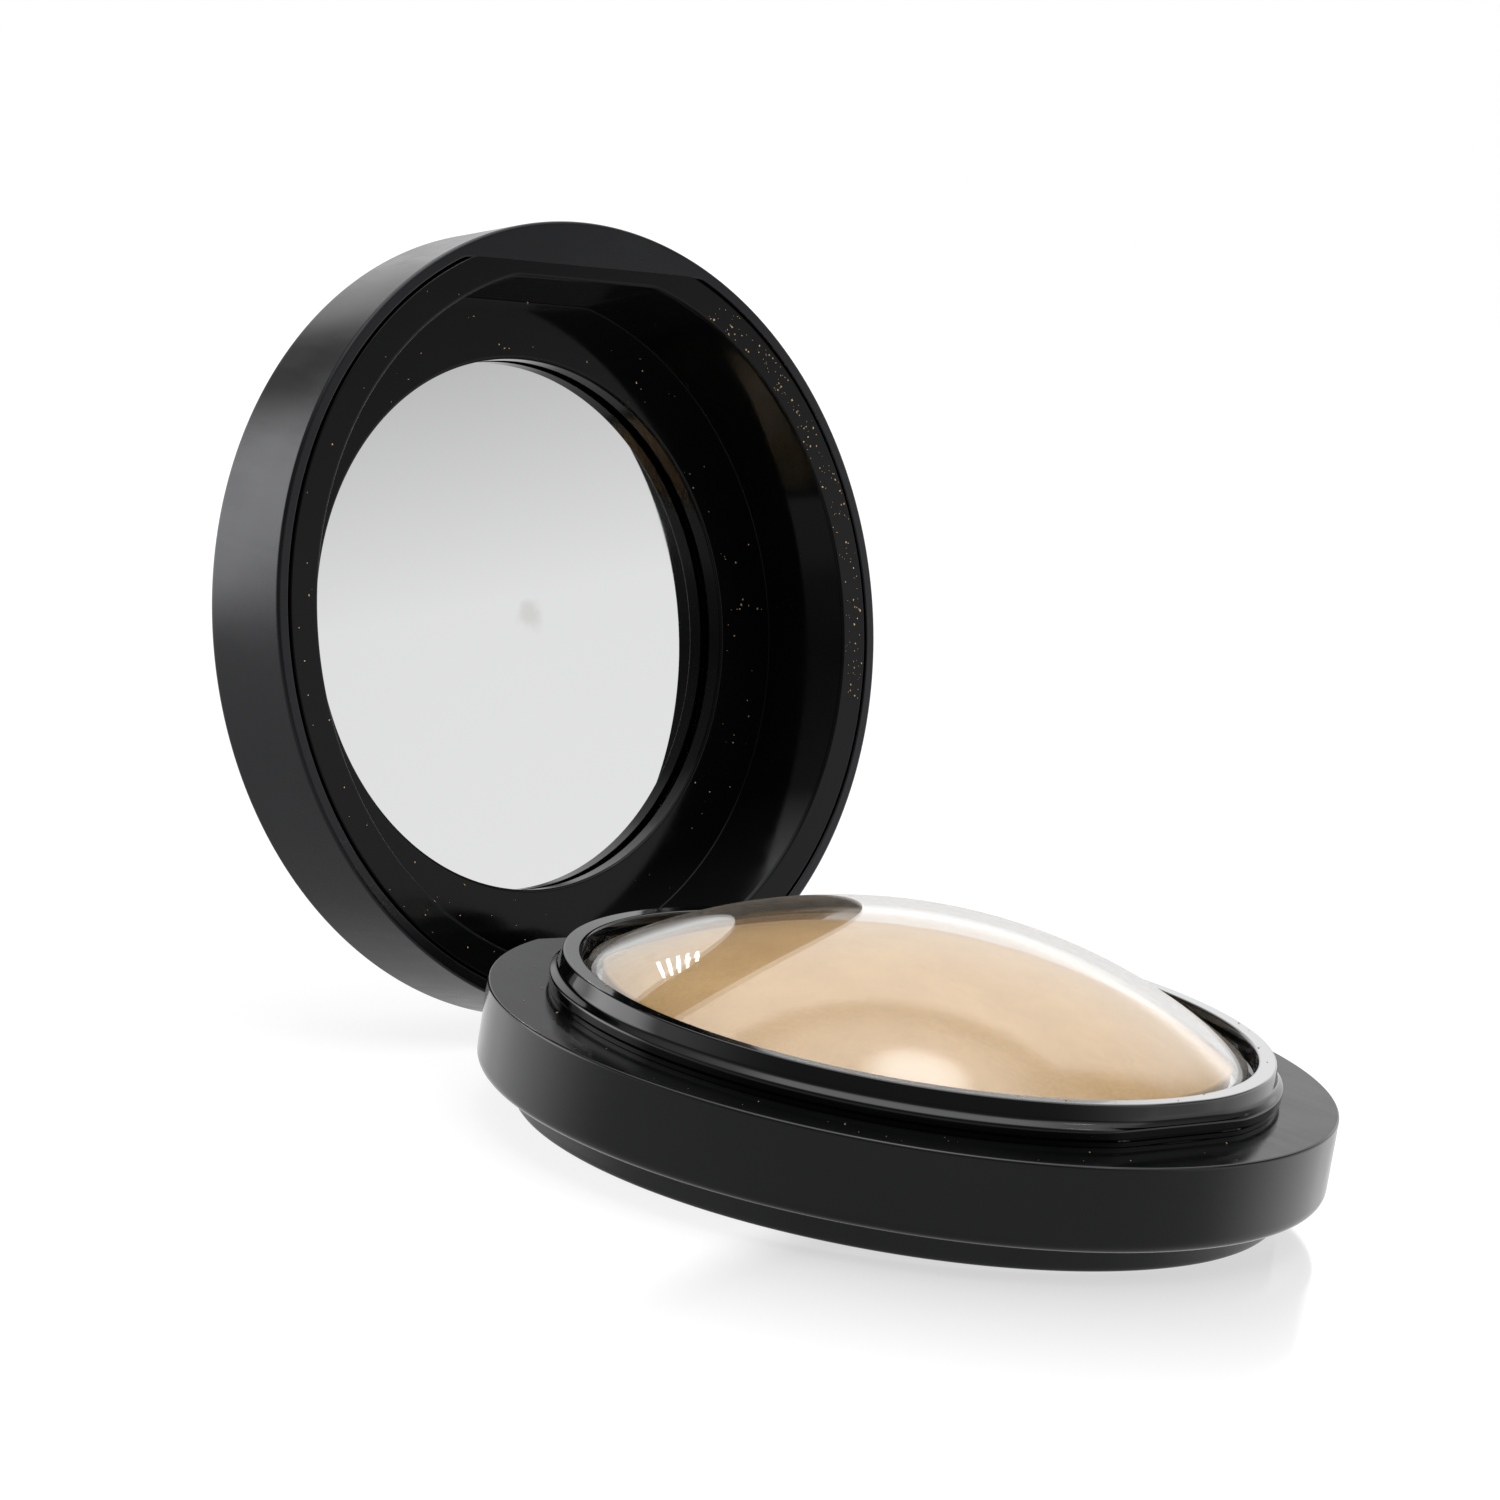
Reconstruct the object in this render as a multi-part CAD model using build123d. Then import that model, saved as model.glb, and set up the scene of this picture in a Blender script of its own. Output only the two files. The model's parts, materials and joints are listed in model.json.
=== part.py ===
from build123d import *
import os
from math import asin, cos, degrees, radians, sin, sqrt

# Powder compact, lid leaning open on its stop. Millimetres, +Z up, origin at the centre of the
# foot's underside, +Y towards the hinge, hinge pin along X.

# ---- case and foot ----
case_r = 40.0           # outer radius of base and lid
ledge_z = 10.7          # height of the base's flat ledge
foot_h = 2.8            # height of the stepped foot under the case
foot_step = 3.8         # how far the foot stands in from the case
case_wall = 1.6
case_edge = 1.2         # rounding of the case's lower edge
case_corner = 0.5       # rounding inside the case
ledge_t = 1.5
floor_ring_t = 1.2      # inward lip at the bottom of the case
foot_floor = 1.4
foot_spigot_h = 2.2     # how far the foot plate reaches up inside the lip
foot_spigot_t = 1.4
foot_fit = 0.15         # gap between spigot and lip
foot_seat = 1.6         # width of the joint face between foot plate and lip
foot_edge = 0.6         # rounding of the foot's lower edge
post_r = 1.6
post_ring_r = 20.0
post_count = 4
label_r = 16.0
label_t = 0.2

# ---- collar and tray ----
ledge_w = 5.5           # width of the ledge outside the collar
collar_h = 3.65
bead_out = 1.0          # how far the snap bead stands outside the rim
bead_low = 0.7          # bead's straight part, from and to above the ledge
bead_high = 1.55
bead_under = 0.2        # height of the bead's slope down to the groove
bead_under_edge = 0.1
bead_low_edge = 0.12
bead_edge = 0.35
bead_slope = 0.55       # height of the bead's slope up to the rim
bead_foot = 0.35        # how far that slope ends outside the rim
bead_foot_edge = 0.6
notch_in = 0.25         # shallow groove under the bead
rim_w = 1.7
rim_out_edge = 0.2      # rounding of the rim's outer top edge
rim_in_edge = 0.25
tray_neck_in = 0.9      # step from the bead to the tray wall under the ledge
tray_fit = 0.15
tray_edge = 0.6         # rounding of the tray's lower edge
tray_floor_t = 1.2
shoulder_drop = 0.1     # cover seat below the ledge height
cover_ridge = 0.4       # inward ridge that holds the cover
cover_ridge_low = 1.0   # ridge from and to above the ledge
cover_ridge_high = 1.7
cover_ridge_lead = 0.3  # height of the ridge's upper slope
cover_ridge_under = 0.1
catch_in = 0.1          # flat on the collar's front, inside the rim radius

# ---- powder and its cover ----
cover_gap = 0.7         # open gap between collar bore and cover skirt
cover_t = 1.2
cover_skirt_t = 1.1
cover_edge_h = 2.43     # cover's shoulder above the ledge
dome_rise = 9.35        # apex above that shoulder
flange_fit = 0.15
flange_h = 0.9
powder_gap = 1.42       # air between powder and cover, at the middle
powder_edge_gap = 0.15  # and straight up at the powder's edge
pan_gap = 0.25          # cover skirt to pan
pan_pocket_gap = 0.2
pan_wall = 0.45
powder_stand = 1.3      # powder's edge above the pan's
pan_floor = 0.5
pan_edge = 0.6          # rounding of the pan's lower edge
pan_corner = 0.2
pan_drop = 2.0          # pan's underside below the ledge
powder_fit = 0.1
powder_chamfer = 0.3
glue_t = 0.25
glue_in = 1.5           # adhesive in from the pan's edge

# ---- hinge ----
open_angle = 105.1      # lid leaning open on its stop, from closed
hinge_in = 3.0          # axis in from the case's outside
hinge_h = 5.1           # axis above the table
flat_out = 0.08         # back flat outside the axis
pin_r = 0.7
pin_run = 0.05          # radial running clearance in the lid's knuckle
knuckle_wall = 1.0
knuckle_gap = 0.3       # radial room round a knuckle
knuckle_end_gap = 0.2
lid_knuckle_half = 8.3
ear_w = 4.0
apron_half = 13.0
apron_gap = 0.2
stop_gap = 0.25
hinge_block_half = 14.0
hinge_block_t = 2.73

# ---- lid ----
lid_gap = 0.2           # closed lid above the ledge
lid_wall = 1.25
rim_edge = 0.3
groove = 0.3            # parting groove between lid casing and liner
front_flat_in = 4.5     # centre of the groove's front flat, in from the outside
back_flat_in = 3.05     # casing's back flat, in from the outside
recess_gap = 0.7        # lid recess outside the collar bead
recess_draft = 0.9      # how much the recess narrows to its floor
recess_wall = 1.1
latch_gap = 0.55        # lid's front flat outside the collar's front flat
liner_flange_t = 1.4
liner_edge = 0.15       # rounding of the flange's outer edge
liner_plate_t = 1.8
liner_taper = 0.7       # height and width of the slope behind the recess floor
liner_taper_in = 0.8
recess_edge = 0.3       # rounding of the recess's mouth and floor
opening_edge = 0.25
plate_w = 7.15          # width of the plate round the mirror
dome_clear = 0.62       # mirror above the closed dome
mirror_t = 1.2
mirror_lip = 1.75       # mirror edge hidden behind the plate
mirror_fit = 0.3
pad_t = 0.3
pad_in = 0.9
crown_t = 1.3
shoulder_rise = 4.6     # lid's rounded shoulder above its straight wall
shoulder_slope = 42.0   # degrees, where the shoulder leaves the wall
crown_slope = 2.0       # degrees, where the shoulder meets the crown
block_depth = 9.0       # depth of the lid's front and back blocks

# ---- worked out from the above ----
foot_r = case_r - foot_step
lip_r = foot_r - foot_seat
bead_r = case_r - ledge_w
rim_r = bead_r - bead_out
bore_r = rim_r - rim_w
neck_r = bead_r - tray_neck_in
rim_z = ledge_z + collar_h
seat_z = ledge_z - shoulder_drop
skirt_r = bore_r - cover_gap
skirt_in_r = skirt_r - cover_skirt_t
pan_r = skirt_in_r - pan_gap
pocket_r = pan_r + pan_pocket_gap
powder_r = pan_r - pan_wall - powder_fit
pan_z = ledge_z - pan_drop
powder_z = pan_z + pan_floor
tray_top_z = pan_z - glue_t
tray_z = tray_top_z - tray_floor_t
shoulder_z = ledge_z + cover_edge_h
apex_z = shoulder_z + dome_rise
dome_sphere = (skirt_r ** 2 + dome_rise ** 2) / (2 * dome_rise)
dome_centre = apex_z - dome_sphere
powder_apex_z = apex_z - cover_t - powder_gap
powder_edge_z = dome_centre + sqrt((dome_sphere - cover_t) ** 2 - powder_r ** 2) - powder_edge_gap
powder_rise = powder_apex_z - powder_edge_z
powder_sphere = (powder_r ** 2 + powder_rise ** 2) / (2 * powder_rise)
pan_top_z = powder_edge_z - powder_stand
catch_y = rim_r - catch_in

hinge_y = case_r - hinge_in
back_y = hinge_y + flat_out
knuckle_r = pin_r + knuckle_wall
ear_start = lid_knuckle_half + knuckle_end_gap
ear_end = ear_start + ear_w

lid_z = ledge_z + lid_gap
mirror_z = apex_z + dome_clear
plate_z = mirror_z - liner_plate_t
recess_h = plate_z - lid_z
recess_r = bead_r + recess_gap
recess_floor_r = recess_r - recess_draft
recess_flat_y = catch_y + latch_gap
opening_r = recess_floor_r - plate_w
mirror_r = opening_r + mirror_lip
crown_in_z = mirror_z + mirror_t + pad_t
crown_z = crown_in_z + crown_t
wall_z = crown_z - shoulder_rise
shell_in_r = case_r - lid_wall
liner_r = shell_in_r - groove
# shoulder: an arc that leaves the wall at shoulder_slope and meets the crown at crown_slope
arc_r = shoulder_rise / (cos(radians(crown_slope)) - cos(radians(shoulder_slope)))
arc_x = case_r - arc_r * sin(radians(shoulder_slope))
arc_z = wall_z - arc_r * cos(radians(shoulder_slope))
arc_in_r = arc_r - crown_t


def outline(*corners):
    """Closed (radius, height) outline; a third number rounds that corner."""
    points = [corner[:2] for corner in corners]
    radii = [corner[2] if len(corner) == 3 else 0 for corner in corners]
    return make_face(FilletPolyline(*points, radius=radii, close=True))


def turned(face):
    """Solid of revolution about Z from an outline in the radius-height plane."""
    return revolve(Plane.XZ * face, Axis.Z)


def box_between(low, high):
    """Box from its lowest to its highest corner."""
    size = [b - a for a, b in zip(low, high)]
    centre = [(a + b) / 2 for a, b in zip(low, high)]
    return Pos(*centre) * Box(*size)


def disc(radius, low_z, high_z):
    """Upright cylinder between two heights."""
    return Pos(0, 0, (low_z + high_z) / 2) * Cylinder(radius, high_z - low_z)


def hinge_bar(radius, start_x, end_x):
    """Cylinder on the hinge axis between two places along X."""
    middle = ((start_x + end_x) / 2, hinge_y, hinge_h)
    return Pos(*middle) * Rot(0, 90, 0) * Cylinder(radius, end_x - start_x)


def arc_point(radius, angle):
    """Point (radius, height) on an arc about the lid shoulder's centre; angle from the vertical."""
    return (arc_x + radius * sin(radians(angle)), arc_z + radius * cos(radians(angle)))


def arc_angle_at_z(radius, z):
    """Angle from the vertical at which that arc is at height z."""
    return 90 - degrees(asin((z - arc_z) / radius))


def arc_angle_at_r(radius, r):
    """Angle from the vertical at which that arc is at distance r from the lid's axis."""
    return degrees(asin((r - arc_x) / radius))


def swung_open(solid):
    """Turn a closed lid piece about the hinge to where the lid leans open."""
    return solid.rotate(Axis((0, hinge_y, hinge_h), (1, 0, 0)), -open_angle)


def base_shell():
    """Case ring: wall, ledge and lower lip, with the hinge block, its flat, pocket and ears."""
    wall_in_r = case_r - case_wall
    lip_top = foot_h + floor_ring_t
    shell = turned(outline(
        (case_r, ledge_z, rim_edge), (case_r, foot_h, case_edge), (lip_r, foot_h), (lip_r, lip_top),
        (wall_in_r, lip_top, case_corner), (wall_in_r, ledge_z - ledge_t, case_corner),
        (neck_r + tray_fit, ledge_z - ledge_t), (neck_r + tray_fit, ledge_z)))
    block = box_between((-hinge_block_half, back_y - hinge_block_t, foot_h),
                        (hinge_block_half, back_y, ledge_z))
    block = block & disc(case_r - rim_edge, foot_h, ledge_z)
    block -= disc(lip_r, foot_h, foot_h + foot_spigot_h + foot_fit)
    shell += block
    shell -= box_between((-case_r, back_y, 0), (case_r, case_r + 1, ledge_z + 1))
    shell -= hinge_bar(knuckle_r + knuckle_gap, -ear_start, ear_start)
    for side in (-1, 1):
        start, end = sorted((side * ear_start, side * ear_end))
        shell += hinge_bar(knuckle_r, start, end)
    return shell - hinge_bar(pin_r, -ear_end, ear_end)


def collar_tray():
    """Collar with the snap bead and the tray below it that holds pan and cover."""
    notch_r = bead_r - notch_in
    ridge_r = bore_r - cover_ridge
    ridge_low, ridge_high = ledge_z + cover_ridge_low, ledge_z + cover_ridge_high
    tray = turned(outline(
        (0, tray_z), (neck_r, tray_z, tray_edge), (neck_r, ledge_z), (notch_r, ledge_z),
        (notch_r, ledge_z + bead_low - bead_under, bead_under_edge),
        (bead_r, ledge_z + bead_low, bead_low_edge), (bead_r, ledge_z + bead_high, bead_edge),
        (rim_r + bead_foot, ledge_z + bead_high + bead_slope, bead_foot_edge),
        (rim_r, rim_z, rim_out_edge), (bore_r, rim_z, rim_in_edge),
        (bore_r, ridge_high), (ridge_r, ridge_high - cover_ridge_lead),
        (ridge_r, ridge_low + cover_ridge_under), (bore_r, ridge_low),
        (bore_r, seat_z), (pocket_r, seat_z), (pocket_r, tray_top_z), (0, tray_top_z)))
    front = box_between((-case_r, -case_r, ledge_z), (case_r, -catch_y, rim_z + 1))
    return tray - front


def foot_plate():
    """Bottom cover: stepped foot, spigot into the case, posts under the tray, label recess."""
    spigot_r = lip_r - foot_fit
    spigot_z = foot_h + foot_spigot_h
    plate = turned(outline(
        (0, label_t), (label_r, label_t), (label_r, 0), (foot_r, 0, foot_edge), (foot_r, foot_h),
        (spigot_r, foot_h), (spigot_r, spigot_z), (spigot_r - foot_spigot_t, spigot_z),
        (spigot_r - foot_spigot_t, foot_floor + label_t, case_corner), (0, foot_floor + label_t)))
    for post in PolarLocations(post_ring_r, post_count):
        plate += post * disc(post_r, foot_floor, tray_z)
    return plate


def base_label():
    """Blank round label, flush in the foot's underside."""
    return disc(label_r, 0, label_t)


def pan_adhesive():
    """Thin disc of adhesive between pan and tray."""
    return disc(pan_r - glue_in, tray_top_z, pan_z)


def powder_pan():
    """Shallow pressed aluminium pan."""
    return turned(outline(
        (0, pan_z), (pan_r, pan_z, pan_edge), (pan_r, pan_top_z), (pan_r - pan_wall, pan_top_z),
        (pan_r - pan_wall, powder_z, pan_corner), (0, powder_z)))


def powder_cake():
    """Domed baked powder, one spherical cap on a short straight edge."""
    top = (0, powder_apex_z)
    edge = (powder_r, powder_edge_z)
    half = asin(powder_r / powder_sphere) / 2
    middle = (powder_sphere * sin(half), powder_apex_z - powder_sphere * (1 - cos(half)))
    sides = Polyline(edge, (powder_r, powder_z + powder_chamfer), (powder_r - powder_chamfer, powder_z),
                     (0, powder_z), top)
    return turned(make_face([ThreePointArc(top, middle, edge), sides]))


def dome_cover():
    """Clear domed cover: even spherical cap, skirt and bottom flange that clicks under the ridge."""
    inner_sphere = dome_sphere - cover_t
    inner_edge = (skirt_in_r, dome_centre + sqrt(inner_sphere ** 2 - skirt_in_r ** 2))
    outer_half = asin(skirt_r / dome_sphere) / 2
    inner_half = asin(skirt_in_r / inner_sphere) / 2
    outer_mid = (dome_sphere * sin(outer_half), dome_centre + dome_sphere * cos(outer_half))
    inner_mid = (inner_sphere * sin(inner_half), dome_centre + inner_sphere * cos(inner_half))
    outer_top = (0, apex_z)
    inner_top = (0, apex_z - cover_t)
    flange_r = bore_r - flange_fit
    flange_z = seat_z + flange_h
    outside = Polyline((skirt_r, shoulder_z), (skirt_r, flange_z), (flange_r, flange_z),
                       (flange_r, seat_z), (skirt_in_r, seat_z), inner_edge)
    return turned(make_face([
        ThreePointArc(outer_top, outer_mid, (skirt_r, shoulder_z)), outside,
        ThreePointArc(inner_edge, inner_mid, inner_top), Line(inner_top, outer_top)]))


def hinge_pin():
    """Steel pin, pressed in the base's ears and turning in the lid's knuckle."""
    return hinge_bar(pin_r, -ear_end, ear_end)


def lid_profile():
    """Lid casing outline: straight wall, rounded shoulder, slightly domed crown."""
    crown_edge = arc_point(arc_r, crown_slope)
    crown_sphere = crown_edge[0] / sin(radians(crown_slope))
    crown_top = crown_edge[1] + crown_sphere * (1 - cos(radians(crown_slope)))
    half = radians(crown_slope / 2)
    crown_mid = (crown_sphere * sin(half), crown_top - crown_sphere * (1 - cos(half)))
    wall_top = arc_point(arc_r, shoulder_slope)
    shoulder_mid = arc_point(arc_r, (shoulder_slope + crown_slope) / 2)
    pocket = mirror_r + mirror_fit
    seat_angle = arc_angle_at_z(arc_in_r, mirror_z)
    wall_angle = arc_angle_at_r(arc_in_r, shell_in_r)
    seat_edge = arc_point(arc_in_r, seat_angle)
    wall_in_top = arc_point(arc_in_r, wall_angle)
    in_mid = arc_point(arc_in_r, (seat_angle + wall_angle) / 2)
    return make_face([
        Line((case_r, lid_z + rim_edge), wall_top),
        ThreePointArc(wall_top, shoulder_mid, crown_edge),
        ThreePointArc(crown_edge, crown_mid, (0, crown_top)),
        Polyline((0, crown_top), (0, crown_in_z), (pocket, crown_in_z), (pocket, mirror_z), seat_edge),
        ThreePointArc(seat_edge, in_mid, wall_in_top),
        Polyline(wall_in_top, (shell_in_r, lid_z), (case_r - rim_edge, lid_z)),
        ThreePointArc((case_r - rim_edge, lid_z), (case_r - rim_edge * (1 - sin(radians(45))),
                      lid_z + rim_edge * (1 - cos(radians(45)))), (case_r, lid_z + rim_edge))])


def hinge_apron():
    """Lid's hinge tongue: fills the case's back flat, ends in the knuckle, bevelled as the stop."""
    low = hinge_h - knuckle_r
    apron = box_between((-apron_half, back_y + apron_gap, low), (apron_half, case_r + 1, lid_z))
    apron = apron & disc(case_r, low, lid_z)
    # the bevel comes to lie along the case's back flat when the lid is open
    bevel = Pos(0, 0, stop_gap - case_r) * Box(4 * case_r, 4 * case_r, 2 * case_r)
    apron -= Pos(0, hinge_y, hinge_h) * Rot(open_angle - 90, 0, 0) * bevel
    apron += hinge_bar(knuckle_r, -lid_knuckle_half, lid_knuckle_half)
    for side in (-1, 1):
        start, end = sorted((side * lid_knuckle_half, side * case_r))
        apron -= hinge_bar(knuckle_r + knuckle_gap, start, end)
    return apron


def lid_shell():
    """Lid casing with its front latch block, back hinge block and hinge tongue."""
    shell = turned(lid_profile())
    blocks = disc(shell_in_r + lid_wall / 2, lid_z, lid_z + block_depth)
    blocks -= box_between((-case_r, -case_r + front_flat_in - groove / 2, 0),
                          (case_r, case_r - back_flat_in, crown_z))
    shell += blocks
    shell += hinge_apron()
    shell -= hinge_bar(pin_r + pin_run, -lid_knuckle_half - 1, lid_knuckle_half + 1)
    return swung_open(shell)


def lid_liner():
    """Inner frame of the lid: flush flange, tapered recess with a front flat, plate round the mirror."""
    wall_r = recess_r + recess_wall
    wall_floor_r = recess_floor_r + recess_wall
    liner = turned(outline(
        (liner_r, lid_z, liner_edge), (liner_r, lid_z + liner_flange_t), (wall_r, lid_z + liner_flange_t),
        (wall_floor_r, mirror_z - liner_taper), (wall_floor_r - liner_taper_in, mirror_z),
        (opening_r, mirror_z), (opening_r, plate_z, opening_edge),
        (recess_floor_r, plate_z, recess_edge), (recess_r, lid_z, recess_edge)))
    # front flat of the recess, leaning in by the same draft
    lean = degrees(asin(recess_draft / recess_h))
    flat = box_between((-case_r, -case_r, -lid_z), (case_r, 0, case_r))
    flat = Pos(0, -recess_flat_y, lid_z) * Rot(-lean, 0, 0) * flat
    liner += flat & disc(recess_r + recess_wall / 2, lid_z, plate_z)
    front_y = -case_r + front_flat_in + groove / 2
    back_y_in = case_r - back_flat_in - groove
    liner -= box_between((-case_r, -case_r, lid_z - 1), (case_r, front_y, mirror_z + 1))
    liner -= box_between((-case_r, back_y_in, lid_z - 1), (case_r, case_r, mirror_z + 1))
    return swung_open(liner)


def mirror():
    """Round glass mirror behind the liner's plate."""
    return swung_open(disc(mirror_r, mirror_z, mirror_z + mirror_t))


def mirror_pad():
    """Adhesive foam disc between mirror and crown."""
    return swung_open(disc(mirror_r - pad_in, mirror_z + mirror_t, crown_in_z))


pieces = {
    "base_shell": base_shell, "collar_tray": collar_tray, "foot_plate": foot_plate,
    "base_label": base_label, "pan_adhesive": pan_adhesive, "powder_pan": powder_pan,
    "powder_cake": powder_cake, "dome_cover": dome_cover, "hinge_pin": hinge_pin,
    "lid_shell": lid_shell, "lid_liner": lid_liner, "mirror": mirror, "mirror_pad": mirror_pad,
}

os.makedirs("parts", exist_ok=True)
for name, make in pieces.items():
    export_step(make(), f"parts/{name}.step")
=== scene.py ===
import json
from math import atan2, cos, pi, radians, sin, sqrt, tan

import bmesh
import bpy
import numpy as np
from bpy.props import FloatProperty, FloatVectorProperty, IntProperty, PointerProperty
from bpy.types import Operator, Panel, PropertyGroup
from mathutils import Matrix, Quaternion, Vector


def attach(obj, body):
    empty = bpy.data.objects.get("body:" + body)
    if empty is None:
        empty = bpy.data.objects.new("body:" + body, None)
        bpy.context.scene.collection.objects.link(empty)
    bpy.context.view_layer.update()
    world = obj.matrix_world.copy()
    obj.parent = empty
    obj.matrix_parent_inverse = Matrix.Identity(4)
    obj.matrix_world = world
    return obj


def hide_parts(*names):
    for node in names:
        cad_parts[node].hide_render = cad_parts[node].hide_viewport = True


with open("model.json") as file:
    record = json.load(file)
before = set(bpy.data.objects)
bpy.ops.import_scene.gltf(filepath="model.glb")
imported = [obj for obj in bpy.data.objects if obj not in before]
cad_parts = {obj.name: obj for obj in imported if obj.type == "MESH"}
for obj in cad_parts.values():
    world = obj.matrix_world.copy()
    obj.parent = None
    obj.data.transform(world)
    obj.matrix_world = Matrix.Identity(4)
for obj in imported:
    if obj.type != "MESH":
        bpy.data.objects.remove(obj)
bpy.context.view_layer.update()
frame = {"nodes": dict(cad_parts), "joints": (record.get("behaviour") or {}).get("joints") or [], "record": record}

bl_info = {
    "name": "Powder Compact",
    "version": (1, 0, 0),
    "blender": (4, 5, 0),
    "location": "View3D > Sidebar > Compact",
    "description": "Builds a round powder compact with a mirrored lid and a domed clear cover",
    "category": "Add Mesh",
}

MM = 0.001
AXIS = 1e-4   # radius that an outline keeps from the Z axis, in millimetres
SMUDGE = (0.0025, 0.0650, 0.0370)   # middle of the fingertip mark on the mirror, in metres
HINGE = frame["joints"][0]
PIVOT = np.array(HINGE["pos_m"]) / MM
OPEN_ANGLE = radians(HINGE["range_deg"][1])


# ---- reading the frame ----

def node_points(node):
    """A CAD node's points as rows, in millimetres."""
    mesh = frame["nodes"][node].data
    flat = np.empty(len(mesh.vertices) * 3, np.float32)
    mesh.vertices.foreach_get("co", flat)
    return flat.reshape(-1, 3).astype(float) / MM


def about_hinge(points, angle):
    """Points turned about the hinge axis, which lies along X: y and z turn by the right-hand rule."""
    moved = np.array(points, float)
    y, z = moved[..., 1] - PIVOT[1], moved[..., 2] - PIVOT[2]
    moved[..., 1] = PIVOT[1] + y * cos(angle) - z * sin(angle)
    moved[..., 2] = PIVOT[2] + y * sin(angle) + z * cos(angle)
    return moved


def closed_box(node):
    """Lowest and highest corner of a lid node with the lid shut, in millimetres."""
    points = about_hinge(node_points(node), OPEN_ANGLE)
    return points.min(0), points.max(0)


def rest_box(node):
    """Lowest and highest corner of a node as it stands, in millimetres."""
    points = node_points(node)
    return points.min(0), points.max(0)


CASE_LOW, CASE_HIGH = rest_box("base_shell")
COLLAR_LOW, COLLAR_HIGH = rest_box("collar_tray")
FOOT_LOW, FOOT_HIGH = rest_box("foot_plate")
COVER_LOW, COVER_HIGH = rest_box("dome_cover")
CAKE_LOW, CAKE_HIGH = rest_box("powder_cake")
LABEL_LOW, LABEL_HIGH = rest_box("base_label")
LID_LOW, LID_HIGH = closed_box("lid_shell")
LINER_LOW, LINER_HIGH = closed_box("lid_liner")
MIRROR_LOW, MIRROR_HIGH = closed_box("mirror")


def length(name, description, default):
    """A length setting, given in millimetres and kept in metres."""
    return FloatProperty(name=name, description=description, default=default * MM,
                         min=0.0, precision=5, unit="LENGTH", subtype="DISTANCE")


def colour(name, description, default):
    """A linear colour setting."""
    return FloatVectorProperty(name=name, description=description, default=default,
                               min=0.0, max=1.0, size=3, subtype="COLOR")


# ---- settings ----

class CompactBaseSizes(PropertyGroup):
    """Sizes of the case, collar, foot, powder and cover."""
    case_radius: length("Case radius", "Outside of the case", CASE_HIGH[0])
    ledge_height: length("Ledge height", "Top of the flat ledge", CASE_HIGH[2])
    case_bottom: length("Case underside", "Bottom of the case above the table", CASE_LOW[2])
    ledge_edge: length("Ledge edge", "Rounding of the ledge's outer edge", 0.25)
    lower_edge: length("Lower edge", "Rounding of the case's lower edge", 1.2)
    lip_radius: length("Lip radius", "Opening in the case's underside", FOOT_HIGH[0] - 1.6)
    flat_setback: length("Back flat", "How far the back flat stands in from the case", 2.92)
    pocket_half: length("Knuckle pocket", "Half the width of the pocket in the back flat", 8.5)
    pocket_radius: length("Pocket radius", "Radius of the knuckle pocket", 2.0)
    knuckle_radius: length("Knuckle radius", "Outside of the hinge knuckles", 1.7)
    ear_width: length("Ear width", "Width of each pin ear", 4.0)
    rim_height: length("Rim height", "Top of the collar", COLLAR_HIGH[2])
    bead_radius: length("Bead radius", "Outside of the collar's snap bead", COLLAR_HIGH[0])
    rim_radius: length("Rim radius", "Outside of the collar's rim", COLLAR_HIGH[0] - 1.0)
    rim_width: length("Rim width", "Width of the collar's flat top", 1.7)
    foot_radius: length("Foot radius", "Outside of the stepped foot", FOOT_HIGH[0])
    foot_edge: length("Foot edge", "Rounding of the foot's lower edge", 0.6)
    cover_radius: length("Cover skirt", "Outside of the cover's skirt", COVER_HIGH[0] - 0.55)
    cover_thickness: length("Cover thickness", "Wall of the clear cover", 1.2)
    cover_shoulder: length("Cover shoulder", "Edge of the dome above the ledge", 2.43)
    cake_edge_gap: length("Powder edge gap", "Powder's edge straight down from the cover", 0.15)
    cake_grain: length("Powder grain", "Depth of the baked powder's fine grain", 0.035)
    cake_waves: length("Powder waves", "Depth of the baked powder's slow unevenness", 0.09)


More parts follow.
